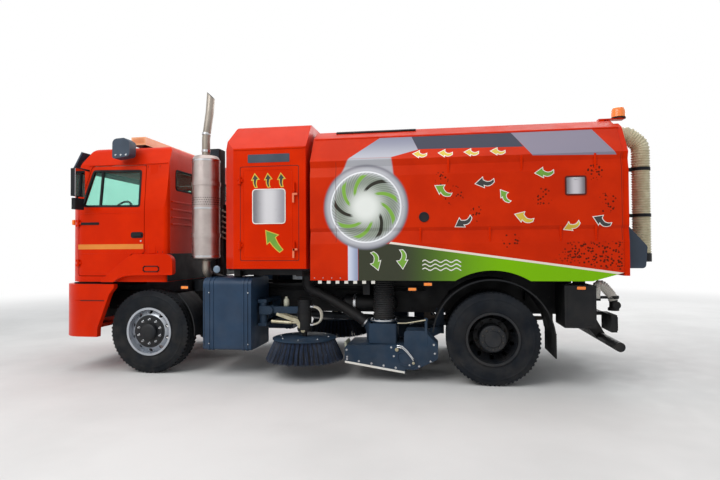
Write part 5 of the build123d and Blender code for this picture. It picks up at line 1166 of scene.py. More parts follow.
@dataclass
class Cab:
    """Seals, trim, lamps and fittings of the cab and its doors."""

    window: tuple[Point, ...] = ((-3.355, 2.112), (-2.553, 2.1), (-2.553, 2.56), (-3.22, 2.575))
    divider_x: float = -3.105
    rear_x: float = -2.175
    rear_rows: tuple[float, ...] = (2.163, 2.062, 1.961, 1.875)
    steering_hub: Triple = (-3.22, -0.55, 2.04)
    steering_lean: float = -62

    def side(self, a: float, b: float, c: float) -> Vector:
        """A point on the left side of the cab, c outwards."""
        lean = max(0.0, min(b, 2.66) - CAB_BELT) * 0.1 + max(0.0, b - 2.66) * 0.41
        return Vector((a, -(CAB_HALF - lean + c), b))

    def nose(self, a: float, b: float, c: float) -> Vector:
        """A point on the cab's front at Y a and height b, c outwards."""
        lean = max(0.0, b - 2.04) * 0.297
        bow = 0.045 * min(1.0, max(0.0, abs(a) - 0.5) / 0.67) ** 1.4
        return Vector((-3.595 + lean + bow - c, a, b))

    def build(self) -> None:
        """Makes and dresses the cab."""
        for node, finish in (("cab_shell", ENAMEL), ("cab_glass", GLASS), ("front_grille", TRIM),
                ("sun_visor", VISOR), ("kerb_mirrors", VISOR), ("front_bumper", ENAMEL), ("front_lamps", HEADLAMP)):
            clothe(node, finish)
        clothe("roof_light_bar", LIGHT_BAR, (VISOR, lambda c: c.z < 2.93))
        clothe("cab_interior", SEAT, (DASH, lambda c: c.x < -2.96))
        for side in both("cab_door"):
            clothe(f"door_{side.name}", ENAMEL, (TRIM, lambda c: abs(c.y) > 1.178 and c.z > 1.6 and c.x > -2.7))
            clothe(f"door_glass_{side.name}", GLASS)
            clothe(f"mirrors_{side.name}", TRIM, (MIRROR, lambda c: c.x > -3.258 and abs(c.y) > 1.2))
            self.door_trim(side)
        self.front()
        self.rear()
        self.roof()
        self.flanks()
        self.steering_wheel()
        self.arches()

    def door_trim(self, side: Side) -> None:
        """Seal, divider, stripe, handle cup, lock, badge board and swages of one door."""
        window = grown(rounded(self.window, 0.03), -0.016)
        side.made("door_window_seal", Shape().frame(window, 0.026, -0.022, 0.005, self.side), SEAL, 0.002)
        x = self.divider_x
        post = [(x - 0.012, 2.1), (x + 0.014, 2.1), (x + 0.024, 2.575), (x - 0.002, 2.575)]
        side.made("door_divider", Shape().plate(post, -0.03, 0.002, self.side), SEAL, 0.002)
        stripe = rect(-3.405, 1.559, -2.498, 1.622)
        side.made("door_stripe", Shape().plate(stripe, 0.0002, 0.0012, self.side), STRIPE)
        cup = rounded(rect(-2.665, 1.7, -2.5, 1.772), 0.03)
        rim = Shape().frame(grown(cup, -0.006), 0.008, -0.002, 0.004, self.side)
        side.made("door_handle_cup", rim.plate(cup, 0.0004, 0.0014, self.side), TRIM, 0.001)
        lock = [(0, 0), (0.012, 0), (0.012, 0.004), (0.009, 0.007), (0, 0.007)]
        side.made("door_lock", Shape().turned(lock, (-2.53, -1.1705, 1.66), LEFT, 16), BRIGHT)
        board = rounded(rect(-3.4, 1.872, -3.11, 1.905), 0.01)
        side.made("door_badge_blank", Shape().plate(board, 0.0003, 0.006, self.side), TRIM, 0.0015)
        press = [rect(-3.39, z, -2.51, z + 0.007) for z in (1.5, 2.015)]
        side.made("door_swage", Shape().plates(press, -0.001, 0.0025, self.side), ENAMEL, 0.0012)

    def front(self) -> None:
        """Windscreen seal, wipers, panel seams, corner lamps, handles, grille slats and a blank plate."""
        screen = rounded([(-0.985, 2.112), (0.985, 2.112), (0.94, 2.612), (-0.94, 2.612)], 0.05)
        Shape().frame(screen, 0.028, -0.03, 0.006, self.nose).made("windscreen_seal", SEAL, "cab", 0.003)
        at = self.nose
        arms = Shape()
        for y in (-0.62, 0.08, 0.7):
            arms.pipe([at(y, 2.07, 0.012), at(y, 2.085, 0.028), at(y + 0.28, 2.16, 0.022)], 0.007, 8)
            arms.pipe([at(y - 0.1, 2.155, 0.014), at(y + 0.55, 2.175, 0.014)], 0.009, 6)
            arms.turned([(0, 0), (0.022, 0), (0.02, 0.02), (0, 0.024)], at(y, 2.07, 0.0), (-1, 0, 0), 16)
        arms.made("wipers", TRIM, "cab")
        seams = [rect(sign * 0.04, z, sign * 0.98, z + 0.008) for z in (1.245, 1.7, 1.99) for sign in (-1, 1)]
        # Painted shadow in the nose's panel seams.
        Shape().plates(seams, -0.002, 0.003, at).made("nose_panel_seams", PAINTED_SEAM_SHADOW, "cab", 0.001)
        lamps = [rounded(about(y, 1.915, 0.055, 0.035), 0.02) for y in (-1.02, 1.02)]
        Shape().plates(lamps, -0.01, 0.016, at).made("nose_corner_lamps", AMBER, "cab", 0.004)
        bars = Shape()
        for y in (-0.95, 0.95):
            bars.pipe([at(y, 1.76, 0.0), at(y, 1.765, 0.028), at(y, 1.995, 0.028), at(y, 2.0, 0.0)], 0.009)
        bars.made("nose_grab_handles", TRIM, "cab")
        slat = Shape().box((-0.715, 0.715), (-0.004, 0.004), (0.0, 0.01))
        spots = [Spot((-3.598, 0, 1.318 + 0.0325 * k), (-1, 0, 0)) for k in range(11)]
        SCATTER.spread("grille_fine_slats", CHASSIS, "cab", slat, spots)
        plate = rounded(rect(-0.26, 0.52, 0.26, 0.632), 0.01)
        Shape().plate(plate, -3.6715, -3.668, flat_yz).made("front_blank_plate", WHITE, "chassis", 0.001)

    def rear(self) -> None:
        """Swages, window seals and beads on the cab's rear wall."""
        x = self.rear_x
        ribs = [rounded(rect(-1.06, z - 0.013, -0.42, z + 0.013), 0.012) for z in self.rear_rows]
        Shape().plates(ribs, x - 0.004, x + 0.009, flat_yz).twin().made("cab_rear_swages", ENAMEL, "cab", 0.005)
        window = rounded(rect(-0.94, 2.335, -0.43, 2.565), 0.03)
        seals = Shape().frame(window, 0.022, x - 0.02, x + 0.006, flat_yz).twin()
        seals.made("cab_rear_window_seals", SEAL, "cab", 0.003)
        beads = [rect(y - 0.006, 1.2, y + 0.006, 2.62) for y in (-1.1, -0.36, 0.0)]
        Shape().plates(beads, x - 0.002, x + 0.004, flat_yz).twin().made("cab_rear_beads", ENAMEL, "cab", 0.002)

    def roof(self) -> None:
        """Gutters, roof ribs, the light bar's covers and the kerb mirrors' bolts."""
        gutter = [(-3.3, 2.64), (-2.2, 2.64), (-2.2, 2.656), (-3.24, 2.656)]
        Shape().plate(gutter, -0.004, 0.012, self.side).twin().made("roof_gutters", ENAMEL, "cab", 0.003)
        ribs = [rounded(rect(-2.58, y - 0.02, -2.25, y + 0.02), 0.015) for y in (-0.72, -0.36, 0.0, 0.36, 0.72)]
        Shape().plates(ribs, 2.876, 2.889, flat_xy).made("roof_ribs", ENAMEL, "cab", 0.005)
        end = [(-2.806, 2.928), (-2.604, 2.928), (-2.604, 3.0), (-2.64, 3.031), (-2.77, 3.031), (-2.806, 3.0)]
        caps = Shape().plate(rounded(end, 0.02), -0.95, -0.7).plate(rounded(end, 0.02), 0.7, 0.95)
        caps.made("light_bar_lenses", LIGHT_BAR, "cab", 0.018)
        middle = Shape().plate(rounded(rect(-2.8, 2.93, -2.61, 3.012), 0.02), -0.69, 0.69)
        middle.made("light_bar_middle", LIGHT_BAR, "cab", 0.018)
        bolts = [Spot((x, -1.2905, 2.735), LEFT, 1.8) for x in (-2.8, -2.73, -2.66)]
        SCATTER.spread("kerb_mirror_bolts", BRIGHT, "cab", hex_bolt(), both_sides(bolts))

    def flanks(self) -> None:
        """Seams and posts behind the doors, and lamps on the flares."""
        spans = ((-2.462, 1.53, 2.62), (-2.3, 1.51, 2.62), (-2.232, 1.51, 2.7))
        seams = [rect(x - 0.003, low, x + 0.003, high) for x, low, high in spans]
        # Painted shadow in the side seams behind the doors.
        Shape().plates(seams, -0.002, 0.0012, self.side).twin().made("cab_side_seams", PAINTED_SEAM_SHADOW, "cab")
        ridge = Shape().plate(rect(-2.43, 1.5, -2.33, 2.63), -0.002, 0.006, self.side)
        ridge.twin().made("cab_side_posts", ENAMEL, "cab", 0.004)
        lamp = grown(rounded(rect(-2.45, 1.273, -2.235, 1.348), 0.012), -0.01)
        Shape().frame(lamp, 0.012, -1.255, -1.245).twin().made("flare_lamp_cases", SEAL, "cab", 0.002)
        Shape().plate(lamp, -1.2495, -1.2475).twin().made("flare_lamps", RED_LENS, "cab", 0.0008)

    def steering_wheel(self) -> None:
        """The steering wheel with its column."""
        hub, lean = Vector(self.steering_hub), Matrix.Rotation(math.radians(self.steering_lean), 3, "Y")

        def at(radius: float, turn: float, along: float = 0.0) -> Vector:
            """A point on the wheel's plane, or off it by along."""
            return hub + lean @ Vector((radius * math.cos(turn), radius * math.sin(turn), along))
        wheel = Shape().pipe([at(0.21, math.tau * k / 32) for k in range(33)], 0.015, 8)
        for turn in (0.5, 2.6, 4.7):
            wheel.pipe([hub, at(0.2, turn)], 0.012, 8)
        wheel.pipe([hub, at(0.0, 0.0, -0.3)], 0.03, 12).made("steering_wheel", TRIM, "cab")

    def arches(self) -> None:
        """The flares over the front wheels, under the doors' edges, and the dark panel under the rear wall."""
        opening = [(-2.058, 1.236), (-2.54, 1.232), (-2.69, 1.222), (-2.79, 1.192), (-2.85, 1.1455)]
        outline = [(-3.04, 1.1455), (-3.014, 1.192), (-2.984, 1.203), (-2.7, 1.43), (-2.612, 1.489), (-2.125, 1.494),
            (-2.06, 1.44)] + opening
        lip = opening + [(-2.88, 1.1455), (-2.806, 1.212), (-2.696, 1.246), (-2.54, 1.256), (-2.058, 1.26)]
        flare = Shape().plate(rounded(outline, 0.045), -1.25, -1.1703).plate(rounded(lip, 0.02), -1.2535, -1.249)
        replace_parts(flare.twin().made("cab_flares", ENAMEL, "cab", 0.022), "cab_arches")
        under = Shape().plate(rect(-1.165, 1.15, 1.165, 1.5), -2.1745, -2.166, flat_yz)
        under.made("cab_rear_lower_panel", CHASSIS, "cab", 0.003)


def arrow(x: float, z: float, length: float, turn: float, bend: float = 0.25) -> list[Point]:
    """The outline of a plain arrow with a bent shaft, centred on a point."""
    half, head, thick = length / 2, length * 0.42, length * 0.13
    spine = [(-half + t * (length - head), bend * length * (4 * t * (1 - t)) * 0.5)
        for t in (k / 5 for k in range(6))]
    upper = [(a, b + thick * (0.55 + 0.45 * k / 5)) for k, (a, b) in enumerate(spine)]
    lower = [(a, b - thick * (0.55 + 0.45 * k / 5)) for k, (a, b) in enumerate(spine)]
    end = spine[-1][0]
    outline = lower + [(end, -thick * 2.1), (half, 0.0), (end, thick * 2.1)] + upper[::-1]
    c, s = math.cos(turn), math.sin(turn)
    return [(x + a * c - b * s, z + a * s + b * c) for a, b in outline]


@dataclass
class Hopper:
    """The refuse body: fittings, decals, ribs and skirt."""

    creases: tuple[float, ...] = (1.6, 1.745, 1.785, 2.385, 2.5, 2.575, 2.887)
    skin: tuple[Point, ...] = ((1.0, 1.25), (1.6, 1.25), (1.745, 1.226), (1.785, 1.25), (2.385, 1.25), (2.5, 1.226),
        (2.575, 1.25), (2.887, 1.05), (3.0, 0.85))

    def side(self, a: float, b: float, c: float) -> Vector:
        """A point on the hopper's left side at X a and height b, c outwards."""
        for (z0, y0), (z1, y1) in zip(self.skin, self.skin[1:]):
            if b <= z1:
                break
        slope = (y1 - y0) / (z1 - z0)
        norm = math.sqrt(1 + slope * slope)
        return Vector((a, -(y0 + (y1 - y0) * ((b - z0) / (z1 - z0)) + c / norm), b - c * slope / norm))

    def build(self) -> None:
        """Makes and dresses the hopper."""
        clothe("hopper_shell", LIVERY, (ENAMEL, self.inside), (CHASSIS, lambda c: c.z < 1.315 and abs(c.y) < 1.2))
        self.decals()
        self.hatch()
        self.ribs()
        self.roof()
        self.skirt()

    def inside(self, c: Vector) -> bool:
        """Whether a face lies behind the skin of the walls and shoulders."""
        return c.z < 2.886 and abs(c.y) + max(0.0, c.z - 2.575) * 0.641 < 1.225

    def decals(self) -> None:
        """Plain two-tone arrows in a layout of their own, and three wavy lines."""
        white, green, dark, lemon = Shape(), Shape(), Shape(), Shape()
        table = [(0.98 + 0.29 * k, 2.625, 0.15, 3.05, lemon) for k in range(4)]
        table += [(1.24, 2.2, 0.2, 2.6, green), (1.7, 2.28, 0.2, 3.3, dark), (1.46, 1.84, 0.2, 3.7, dark),
            (2.12, 1.88, 0.2, 2.8, lemon), (2.34, 2.37, 0.19, 3.2, green), (2.93, 1.83, 0.19, 2.7, dark),
            (1.92, 2.12, 0.16, 2.2, green), (2.62, 1.78, 0.17, 3.6, lemon), (0.46, 1.4, 0.21, -1.25, green),
            (0.77, 1.42, 0.21, -1.5, green)]
        for x, z, length, turn, colour in table:
            outline = arrow(x, z, length, turn)
            white.plate(grown(outline, 0.008), 0.0003, 0.0008, self.side, self.creases)
            colour.plate(outline, 0.0009, 0.0014, self.side, self.creases)
        for k in range(3):
            wave = [(1.0 + 0.018 * j, 1.3 + 0.045 * k + 0.014 * math.sin(j * math.tau / 6.5)) for j in range(25)]
            white.plate(wave + [(a, b + 0.013) for a, b in reversed(wave)], 0.0003, 0.0008, self.side, self.creases)
        for name, shape, finish in (("arrow_borders", white, WHITE), ("green_arrows", green, LEAF),
                ("dark_arrows", dark, INK), ("yellow_arrows", lemon, LEMON)):
            shape.twin().made("hopper_" + name, finish, "hopper")

    def hatch(self) -> None:
        """A small stainless door with its rim and latch, a round port and studs."""
        outline = rounded(rect(2.568, 2.126, 2.76, 2.308), 0.012)
        door = Shape().plate(outline, 0.0, 0.006, self.side, self.creases)
        # Painted reflection on the hatch plate.
        door.twin().made("hopper_hatch_plate", HATCH_PAINTED_REFLECTION, "hopper", 0.001)
        # Painted shadow on the hatch's rim.
        Shape().frame(outline, 0.016, 0.0, 0.011, self.side).twin().made("hopper_hatch_rim", PAINTED_SEAM_SHADOW, "hopper", 0.003)
        latch = Shape().plate(rounded(rect(2.645, 2.286, 2.685, 2.302), 0.004), 0.006, 0.016, self.side)
        latch.twin().made("hopper_hatch_latch", BRIGHT, "hopper", 0.002)
        port = [(0, 0.0), (0.058, 0.0), (0.058, 0.01), (0.05, 0.014), (0.044, 0.008), (0, 0.006)]
        cap = Shape().turned(port, (1.023, -1.2495, 1.9), LEFT, 36)
        cap.twin().made("hopper_port_cap", TRIM, "hopper", 0.001)
        studs = [Spot((x, -1.25, 2.03), size=1.6) for x in (-0.09, 0.79)]
        studs += [Spot(tuple(self.side(x, z, 0.006)), size=0.8) for x in (2.58, 2.748) for z in (2.14, 2.294)]
        SCATTER.spread("hopper_studs", BRIGHT, "hopper", dome_rivet(), both_sides(studs))

    def ribs(self) -> None:
        """Upright stiffeners across the swages, and seams near the front and rear edges."""
        ribs = Shape()
        lower, upper = (1.612, 1.775), (2.395, 2.565)
        for x, (low, high) in ((2.505, lower), (2.87, lower), (2.87, upper), (1.3, upper), (2.1, upper),
                (1.75, lower), (0.98, lower)):
            outline = rect(x - 0.012, low, x + 0.012, high)
            corners = [self.side(a, b, -0.004) for a, b in outline] + [Vector((a, -1.2495, b)) for a, b in outline]
            ribs.add(corners, [(0, 1, 2, 3), (4, 7, 6, 5), (0, 4, 5, 1), (1, 5, 6, 2), (2, 6, 7, 3), (3, 7, 4, 0)])
        ribs.twin().made("hopper_swage_ribs", ENAMEL, "hopper", 0.003)
        seams = [rect(x - 0.002, 1.62, x + 0.002, 2.56) for x in (0.0, 3.135)]
        seam = Shape().plates(seams, 0.0001, 0.0006, self.side, self.creases)
        # Painted shadow in the hopper's side seams.
        seam.twin().made("hopper_side_seams", PAINTED_SEAM_SHADOW, "hopper")

    def roof(self) -> None:
        """Roof strips with their bolts, eave beads, a roof hatch and ribs."""
        strip = Shape().plate(rect(-0.06, 2.962, 0.92, 2.984), 0.0, 0.016, self.side)
        strip.twin().made("hopper_roof_strips", SEAL, "hopper", 0.003)
        eave = Shape().plate(rect(-0.29, 2.868, 3.17, 2.884), -0.002, 0.007, self.side)
        eave.twin().made("hopper_eave_beads", ENAMEL, "hopper", 0.003)
        hatch = Shape().plate(rounded(rect(0.1, -0.45, 1.1, 0.45), 0.05), 2.998, 3.018, flat_xy)
        hatch.made("hopper_roof_hatch", ENAMEL, "hopper", 0.006)
        ribs = [rect(x - 0.025, -0.78, x + 0.025, 0.78) for x in (1.4, 1.85, 2.3, 2.75)]
        Shape().plates(ribs, 2.997, 3.012, flat_xy).made("hopper_roof_ribs", ENAMEL, "hopper", 0.005)
        bolts = row((0.02, -0.86, 2.989), (0.84, -0.86, 2.989), 5, (0, -0.4, 1), 2.0)
        SCATTER.spread("hopper_roof_bolts", BRIGHT, "hopper", hex_bolt(), both_sides(bolts))

    def skirt(self) -> None:
        """A row of pale reflectors and small bolts under the side."""
        marks = Shape()
        for k in range(7):
            x = -0.22 + 0.105 * k
            marks.box((x, x + 0.045), (-1.244, -1.236), (1.138, 1.176))
        marks.twin().made("skirt_reflectors", WHITE, "hopper", 0.002)
        bolts = row((-0.26, -1.2505, 1.205), (0.05, -1.2505, 1.205), 4, size=0.9)
        SCATTER.spread("skirt_bolts", BRIGHT, "hopper", hex_bolt(), both_sides(bolts))


@dataclass
class Module:
    """The fan module between cab and hopper: doors, windows, handles, decals, floor and roof."""

    door: tuple[float, float, float, float] = (-1.172, 1.413, -0.453, 2.535)

    def lift(self, a: float, b: float, c: float) -> Vector:
        """A point on the module's left side, c outwards."""
        return Vector((a, -BODY_HALF - c, b))

    def build(self) -> None:
        """Makes and dresses the module."""
        clothe("module_shell", ENAMEL)
        clothe("module_engine", ENGINE)
        for side in both("module_door"):
            clothe(f"module_door_{side.name}", ENAMEL)
            self.door_trim(side)
        # Painted shadow in the gaps round the module doors.
        groove = Shape().frame(rounded(rect(*self.door), 0.02), 0.007, -0.004, 0.0004, self.lift)
        groove.twin().made("module_door_gaps", PAINTED_SEAM_SHADOW, "chassis")
        beads = Shape()
        for edge, high in (((-1.262, 2.742, -0.362, 2.764), 0.01), ((-1.262, 1.312, -0.362, 1.335), 0.006),
                ((-0.385, 1.336, -0.362, 2.741), 0.005)):
            beads.plate(rect(*edge), -0.002, high, self.lift)
        beads.twin().made("module_edge_beads", ENAMEL, "chassis", 0.003)
        board = Shape().plate(rounded(rect(-1.08, 2.585, -0.56, 2.685), 0.012), 0.0003, 0.004, self.lift)
        board.twin().made("module_blank_boards", VISOR, "chassis", 0.001)
        pan = Shape().box((-1.4, -0.37), (-1.09, 1.09), (1.285, 1.3085))
        pan.box((-1.235, -0.535), (-1.02, 1.02), (1.225, 1.287)).made("module_floor_pan", CHASSIS, "chassis", 0.003)
        self.roof()
        rivets = row((-1.23, -1.2505, 2.7), (-0.4, -1.2505, 2.7), 9)
        rivets += row((-1.22, -1.2505, 1.36), (-0.4, -1.2505, 1.36), 9)
        SCATTER.spread("module_rivets", ENAMEL, "chassis", dome_rivet(), both_sides(rivets), 1.4)

    def door_trim(self, side: Side) -> None:
        """Window, arrows, handles and swage of one door."""
        lift = self.lift
        window = rounded(rect(-1.012, 1.858, -0.62, 2.256), 0.035)
        # Painted reflection on the module window.
        side.made("module_window", Shape().plate(window, 0.0002, 0.004, lift), WINDOW_PAINTED_REFLECTION, 0.001)
        side.made("module_window_rim", Shape().frame(window, 0.012, 0.0, 0.008, lift), WHITE, 0.002)
        small = [arrow(x, 2.37, 0.16, math.radians(96), 0.12) for x in (-0.985, -0.823, -0.66)]
        big = arrow(-0.76, 1.645, 0.3, math.radians(128), 0.06)
        borders = Shape().plates([grown(outline, 0.007) for outline in small], 0.0003, 0.0008, lift)
        side.made("module_arrow_borders", borders.plate(grown(big, 0.01), 0.0003, 0.0008, lift), LEMON)
        side.made("module_big_arrow", Shape().plate(big, 0.0009, 0.0014, lift), LEAF)
        dark = Shape().plates([grown(outline, -0.004) for outline in small], 0.0009, 0.0014, lift)
        side.made("module_small_arrows", dark, INK)
        handles = Shape()
        for z in (2.17, 1.515):
            handles.turned(rect(0, 0, 0.014, 0.016), (-0.508, -1.2502, z + 0.026), LEFT, 20)
            grip = [(-0.52, z - 0.075), (-0.497, z - 0.075), (-0.497, z + 0.014), (-0.459, z + 0.014),
                (-0.459, z + 0.038), (-0.52, z + 0.038)]
            handles.plate(rounded(grip, 0.006), 0.014, 0.034, lift)
        side.made("module_door_handles", handles, HANDLE, 0.003)
        press = Shape().frame(rounded(rect(-1.135, 1.455, -0.535, 2.495), 0.03), 0.01, -0.001, 0.003, lift)
        side.made("module_door_swage", press, ENAMEL, 0.002)

    def roof(self) -> None:
        """The frame and slats of the outlet in the roof."""
        hole = Shape().frame(rounded(rect(-1.12, -0.5, -0.55, 0.5), 0.02), 0.03, 3.0783, 3.098, flat_xy)
        hole.made("module_roof_frame", ENAMEL, "chassis", 0.003)

        def leaning(a: float, b: float, c: float) -> Vector:
            """A point on one slat, which rises along Y."""
            return Vector((a, b, c + 0.35 * b))
        slat = Shape().plate(rect(-0.27, -0.012, 0.27, 0.01), 0.0, 0.004, leaning)
        spots = [Spot((-0.835, -0.48 + 0.04 * k, 3.086), (0, 0.0001, 1)) for k in range(25)]
        SCATTER.spread("module_roof_slats", CHASSIS, "chassis", slat, spots)


@dataclass
class Exhaust:
    """The upright silencer and its stack."""

    x: float = -1.735
    y: float = -1.0
    radius: float = 0.172
    band_rows: tuple[float, ...] = (1.452, 2.052, 2.655)
    hole_rows: int = 4
    holes_round: int = 40

    def build(self) -> None:
        """Makes and dresses the exhaust."""
        # The mouth's faces: painted shade of the pipe's dark inside, with soot.
        clothe("exhaust_stack", DIMPLED, (STACK, self.plain), (CHASSIS, lambda c: c.y > -0.82 and c.z < 2.71),
            (SOOT_AND_SHADE, self.mouth))
        bands = Shape()
        low, high = self.radius - 0.002, self.radius + 0.0035
        for z in self.band_rows:
            band = [(low, z), (high, z + 0.002), (high, z + 0.022), (low, z + 0.024)]
            bands.turned(band, (self.x, self.y, 0), steps=64)
        bands.made("silencer_bands", BRUSHED, "chassis")
        holes = []
        for k in range(self.hole_rows):
            for a, b in around(self.holes_round, 1.0, 0.5 * (k % 2)):
                at = (self.x + a * self.radius, self.y + b * self.radius, 2.11 + 0.028 * k)
                holes.append(Spot(at, (a, b, 0), 1.25))
        # Dark discs: painted shade in the perforation holes, with soot.
        hole = Shape().turned(rect(0, 0, 0.0052, 0.0012), ORIGIN, steps=8)
        SCATTER.spread("silencer_perforation", SOOT_AND_SHADE, "chassis", hole, holes)
        clips = Shape()
        ring = [(0.0495, -0.016), (0.0545, -0.014), (0.0545, 0.014), (0.0495, 0.016)]
        for z, x in ((2.8, self.x), (3.02, self.x + 0.004)):
            clips.turned(ring, (x, self.y, z), (0.02, 0, 1), 32)
        clips.made("stack_clips", BRUSHED, "chassis")

    def plain(self, c: Vector) -> bool:
        """Whether a face belongs to the stack, the foot or the inlet pipe."""
        away = math.hypot(c.x - self.x, c.y - self.y)
        return c.z > 2.72 or (c.z < 1.41 and c.y < -0.6) or (away < 0.06 and c.z < 1.45)

    def mouth(self, c: Vector) -> bool:
        """Whether a face lies in the mitred mouth."""
        off = abs((c.x - (self.x + 0.07)) * 0.7071 + (c.z - 3.5) * 0.7071)
        return c.z > 3.42 and c.x - self.x > 0.018 and off < 0.012


@dataclass
class Tanks:
    """The fuel tank on each side, with the box behind the twin wheel."""

    lid: tuple[float, float, float, float] = (2.58, 0.7, 2.84, 1.08)
    seam_x: Point = (-1.668, -1.108)

    def build(self) -> None:
        """Makes and dresses tanks and boxes."""
        clothe("side_tanks", STEEL_BLUE, (CHASSIS, lambda c: c.x > 1.0))
        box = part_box("side_tanks")
        LOG.info("tanks %s %s", box[0], box[1])
        cap = [(0, -0.02), (0.055, -0.02), (0.055, 0.012), (0.047, 0.02), (0, 0.021)]
        Shape().turned(cap, (-1.3, -1.02, 1.196), (0, -0.2, 1), 32).twin().made("tank_caps", TRIM, "chassis", 0.002)
        seams = Shape().plates([rect(x, 0.36, x + 0.006, 1.08) for x in self.seam_x], -1.2015, -1.1995)
        seams.twin().made("tank_seams", CHASSIS, "chassis")
        drain = Shape().turned(rect(0, 0, 0.018, 0.012), (-1.38, -1.0, 0.325), (0, 0, -1), 12)
        drain.twin().made("tank_drains", BRIGHT, "chassis")
        rim = Shape().frame(rounded(rect(*self.lid), 0.012), 0.006, -1.2025, -1.199)
        rim.twin().made("toolbox_lid_rims", TRIM, "chassis", 0.001)
        bolts = [Spot((x, -1.2085, z), size=1.2) for x in (-1.6, -1.1) for z in (0.4, 1.02)]
        SCATTER.spread("tank_strap_bolts", BRIGHT, "chassis", hex_bolt(), both_sides(bolts))


@dataclass
class Chassis:
    """Frame, axles, air intake, air tanks, lines and lamps between the big bodies."""

    coil: Triple = (-1.612, -0.7, 2.1)
    coil_turns: int = 6
    coil_pitch: float = 0.07
    air_tank_y: Point = (-0.62, 0.62)
    air_tank_z: float = 0.86
    intake_box: tuple[float, float, float, float] = (-1.84, -0.72, -1.68, -0.52)
    intake_rows: tuple[float, ...] = (1.42, 1.86, 2.3, 2.62)
    side_lamps: tuple[Triple, ...] = ((0.88, -1.2, 1.075), (1.06, -1.235, 1.135), (-1.925, -1.19, 1.08),
        (2.72, -1.201, 1.098))
    tail_lamps: tuple[Point, ...] = ((-1.1, 0.033), (-1.0, 0.033), (-0.9, 0.033), (-0.8, 0.023))

    def build(self) -> None:
        """Makes and dresses what hangs on the rails."""
        for nodes, finish in (("frame_rails frame_crossmembers body_subframe tip_barrel", CHASSIS),
                ("engine", ENGINE), ("front_axle rear_axle knuckle_left knuckle_right", CASTING),
                ("leaf_springs", SPRING), ("mudguards", TRIM), ("tip_rod", CHROME)):
            for node in nodes.split():
                clothe(node, finish)
        clothe("rear_underrun", CHASSIS, (RED_LENS, lambda c: c.x > 3.1 and abs(c.y) > 0.75 and c.z > 0.6))
        bolts = [Spot((-3.35 + 0.245 * k, -0.4325, z), size=1.6) for k in range(26) for z in (0.93, 0.76)]
        SCATTER.spread("rail_bolts", CASTING, "chassis", hex_bolt(), both_sides(bolts))
        self.aprons()
        self.intake()
        self.coiled_line()
        self.air_tanks()
        self.markers()
        self.tail()

    def coiled_line(self) -> None:
        """The coiled air line behind the cab with its bracket, and a round reflector."""
        x, y, top = self.coil
        ring = around(16, 0.034)
        lines = Shape()
        for k in range(self.coil_turns):
            coil = [(x + a, y + b, top - self.coil_pitch * (k + j / 16)) for j, (a, b) in enumerate(ring + ring[:1])]
            lines.pipe(coil, 0.011, 8)
        end = top - self.coil_pitch * self.coil_turns
        lines.pipe([(-1.578, y, end), (-1.578, -0.69, end - 0.1), (-1.56, -0.62, 1.4), (-1.5, -0.52, 1.12)], 0.01, 8)
        lines.pipe([(-1.578, y, top), (-1.578, -0.68, 2.16), (-1.6, -0.64, 2.2)], 0.01, 8)
        lines.made("air_lines", PALE_HOSE, "chassis")
        post = Shape().box((-1.63, -1.595), (-0.715, -0.685), (1.05, 2.14))
        post.box((-1.64, -1.5), (-0.72, -0.45), (1.0, 1.06)).made("air_line_bracket", CHASSIS, "chassis", 0.003)
        disc = [(0, 0), (0.045, 0), (0.045, 0.006), (0.038, 0.01), (0, 0.01)]
        Shape().turned(disc, (-1.555, -1.08, 1.3), LEFT, 32).made("round_reflector", REFLECTOR, "chassis", 0.001)

    def air_tanks(self) -> None:
        """Two air tanks with their straps, and fixed lines along the rails."""
        outline = [(0, -0.36), (0.06, -0.355), (0.105, -0.31), (0.11, -0.28), (0.11, 0.28), (0.105, 0.31),
            (0.06, 0.355), (0, 0.36)]
        tanks, straps, runs = Shape(), Shape(), Shape()
        for y in self.air_tank_y:
            tanks.turned(outline, (0.3, y, self.air_tank_z), REAR, 32)
            for x in (0.12, 0.48):
                straps.turned(rect(0.109, -0.015, 0.114, 0.015), (x, y, self.air_tank_z), REAR, 32)
        tanks.made("air_tanks", CHASSIS, "chassis")
        straps.made("air_tank_straps", BRIGHT, "chassis")
        for y, z in ((-0.455, 1.02), (-0.475, 1.045), (-0.495, 1.005)):
            runs.pipe([(-1.3, y, z), (-0.4, y, z), (0.3, y - 0.005, z - 0.01), (1.0, y, z)], 0.008, 8)
        runs.twin().made("fixed_lines", HOSE, "chassis")

    def aprons(self) -> None:
        """Dark panels between the bumper and the cab, the raised edge of the bumper's wheel opening, and a seam."""
        apron = Shape().box((-3.5, -2.96), (-1.12, 1.12), (1.07, 1.136)).box((-3.52, -3.49), (-1.1, 1.1), (0.6, 1.1))
        apron.made("front_apron", CHASSIS, "chassis", 0.003)
        edge = [(-3.076, 0.457), (-3.07, 0.57), (-2.943, 0.905), (-2.909, 0.995), (-2.848, 1.072), (-2.848, 1.116),
            (-2.885, 1.116), (-2.885, 1.085), (-2.938, 1.01), (-2.975, 0.915), (-3.102, 0.575), (-3.108, 0.457)]
        Shape().plate(edge, -1.2535, -1.244).twin().made("bumper_arch_edges", ENAMEL, "chassis", 0.002)
        seam = [(-3.312, 0.905), (-2.95, 0.905), (-2.944, 0.918), (-3.312, 0.918)]
        # Painted shadow in the bumper's side seam.
        Shape().plate(seam, -1.2508, -1.249).twin().made("bumper_side_seams", PAINTED_SEAM_SHADOW, "chassis")

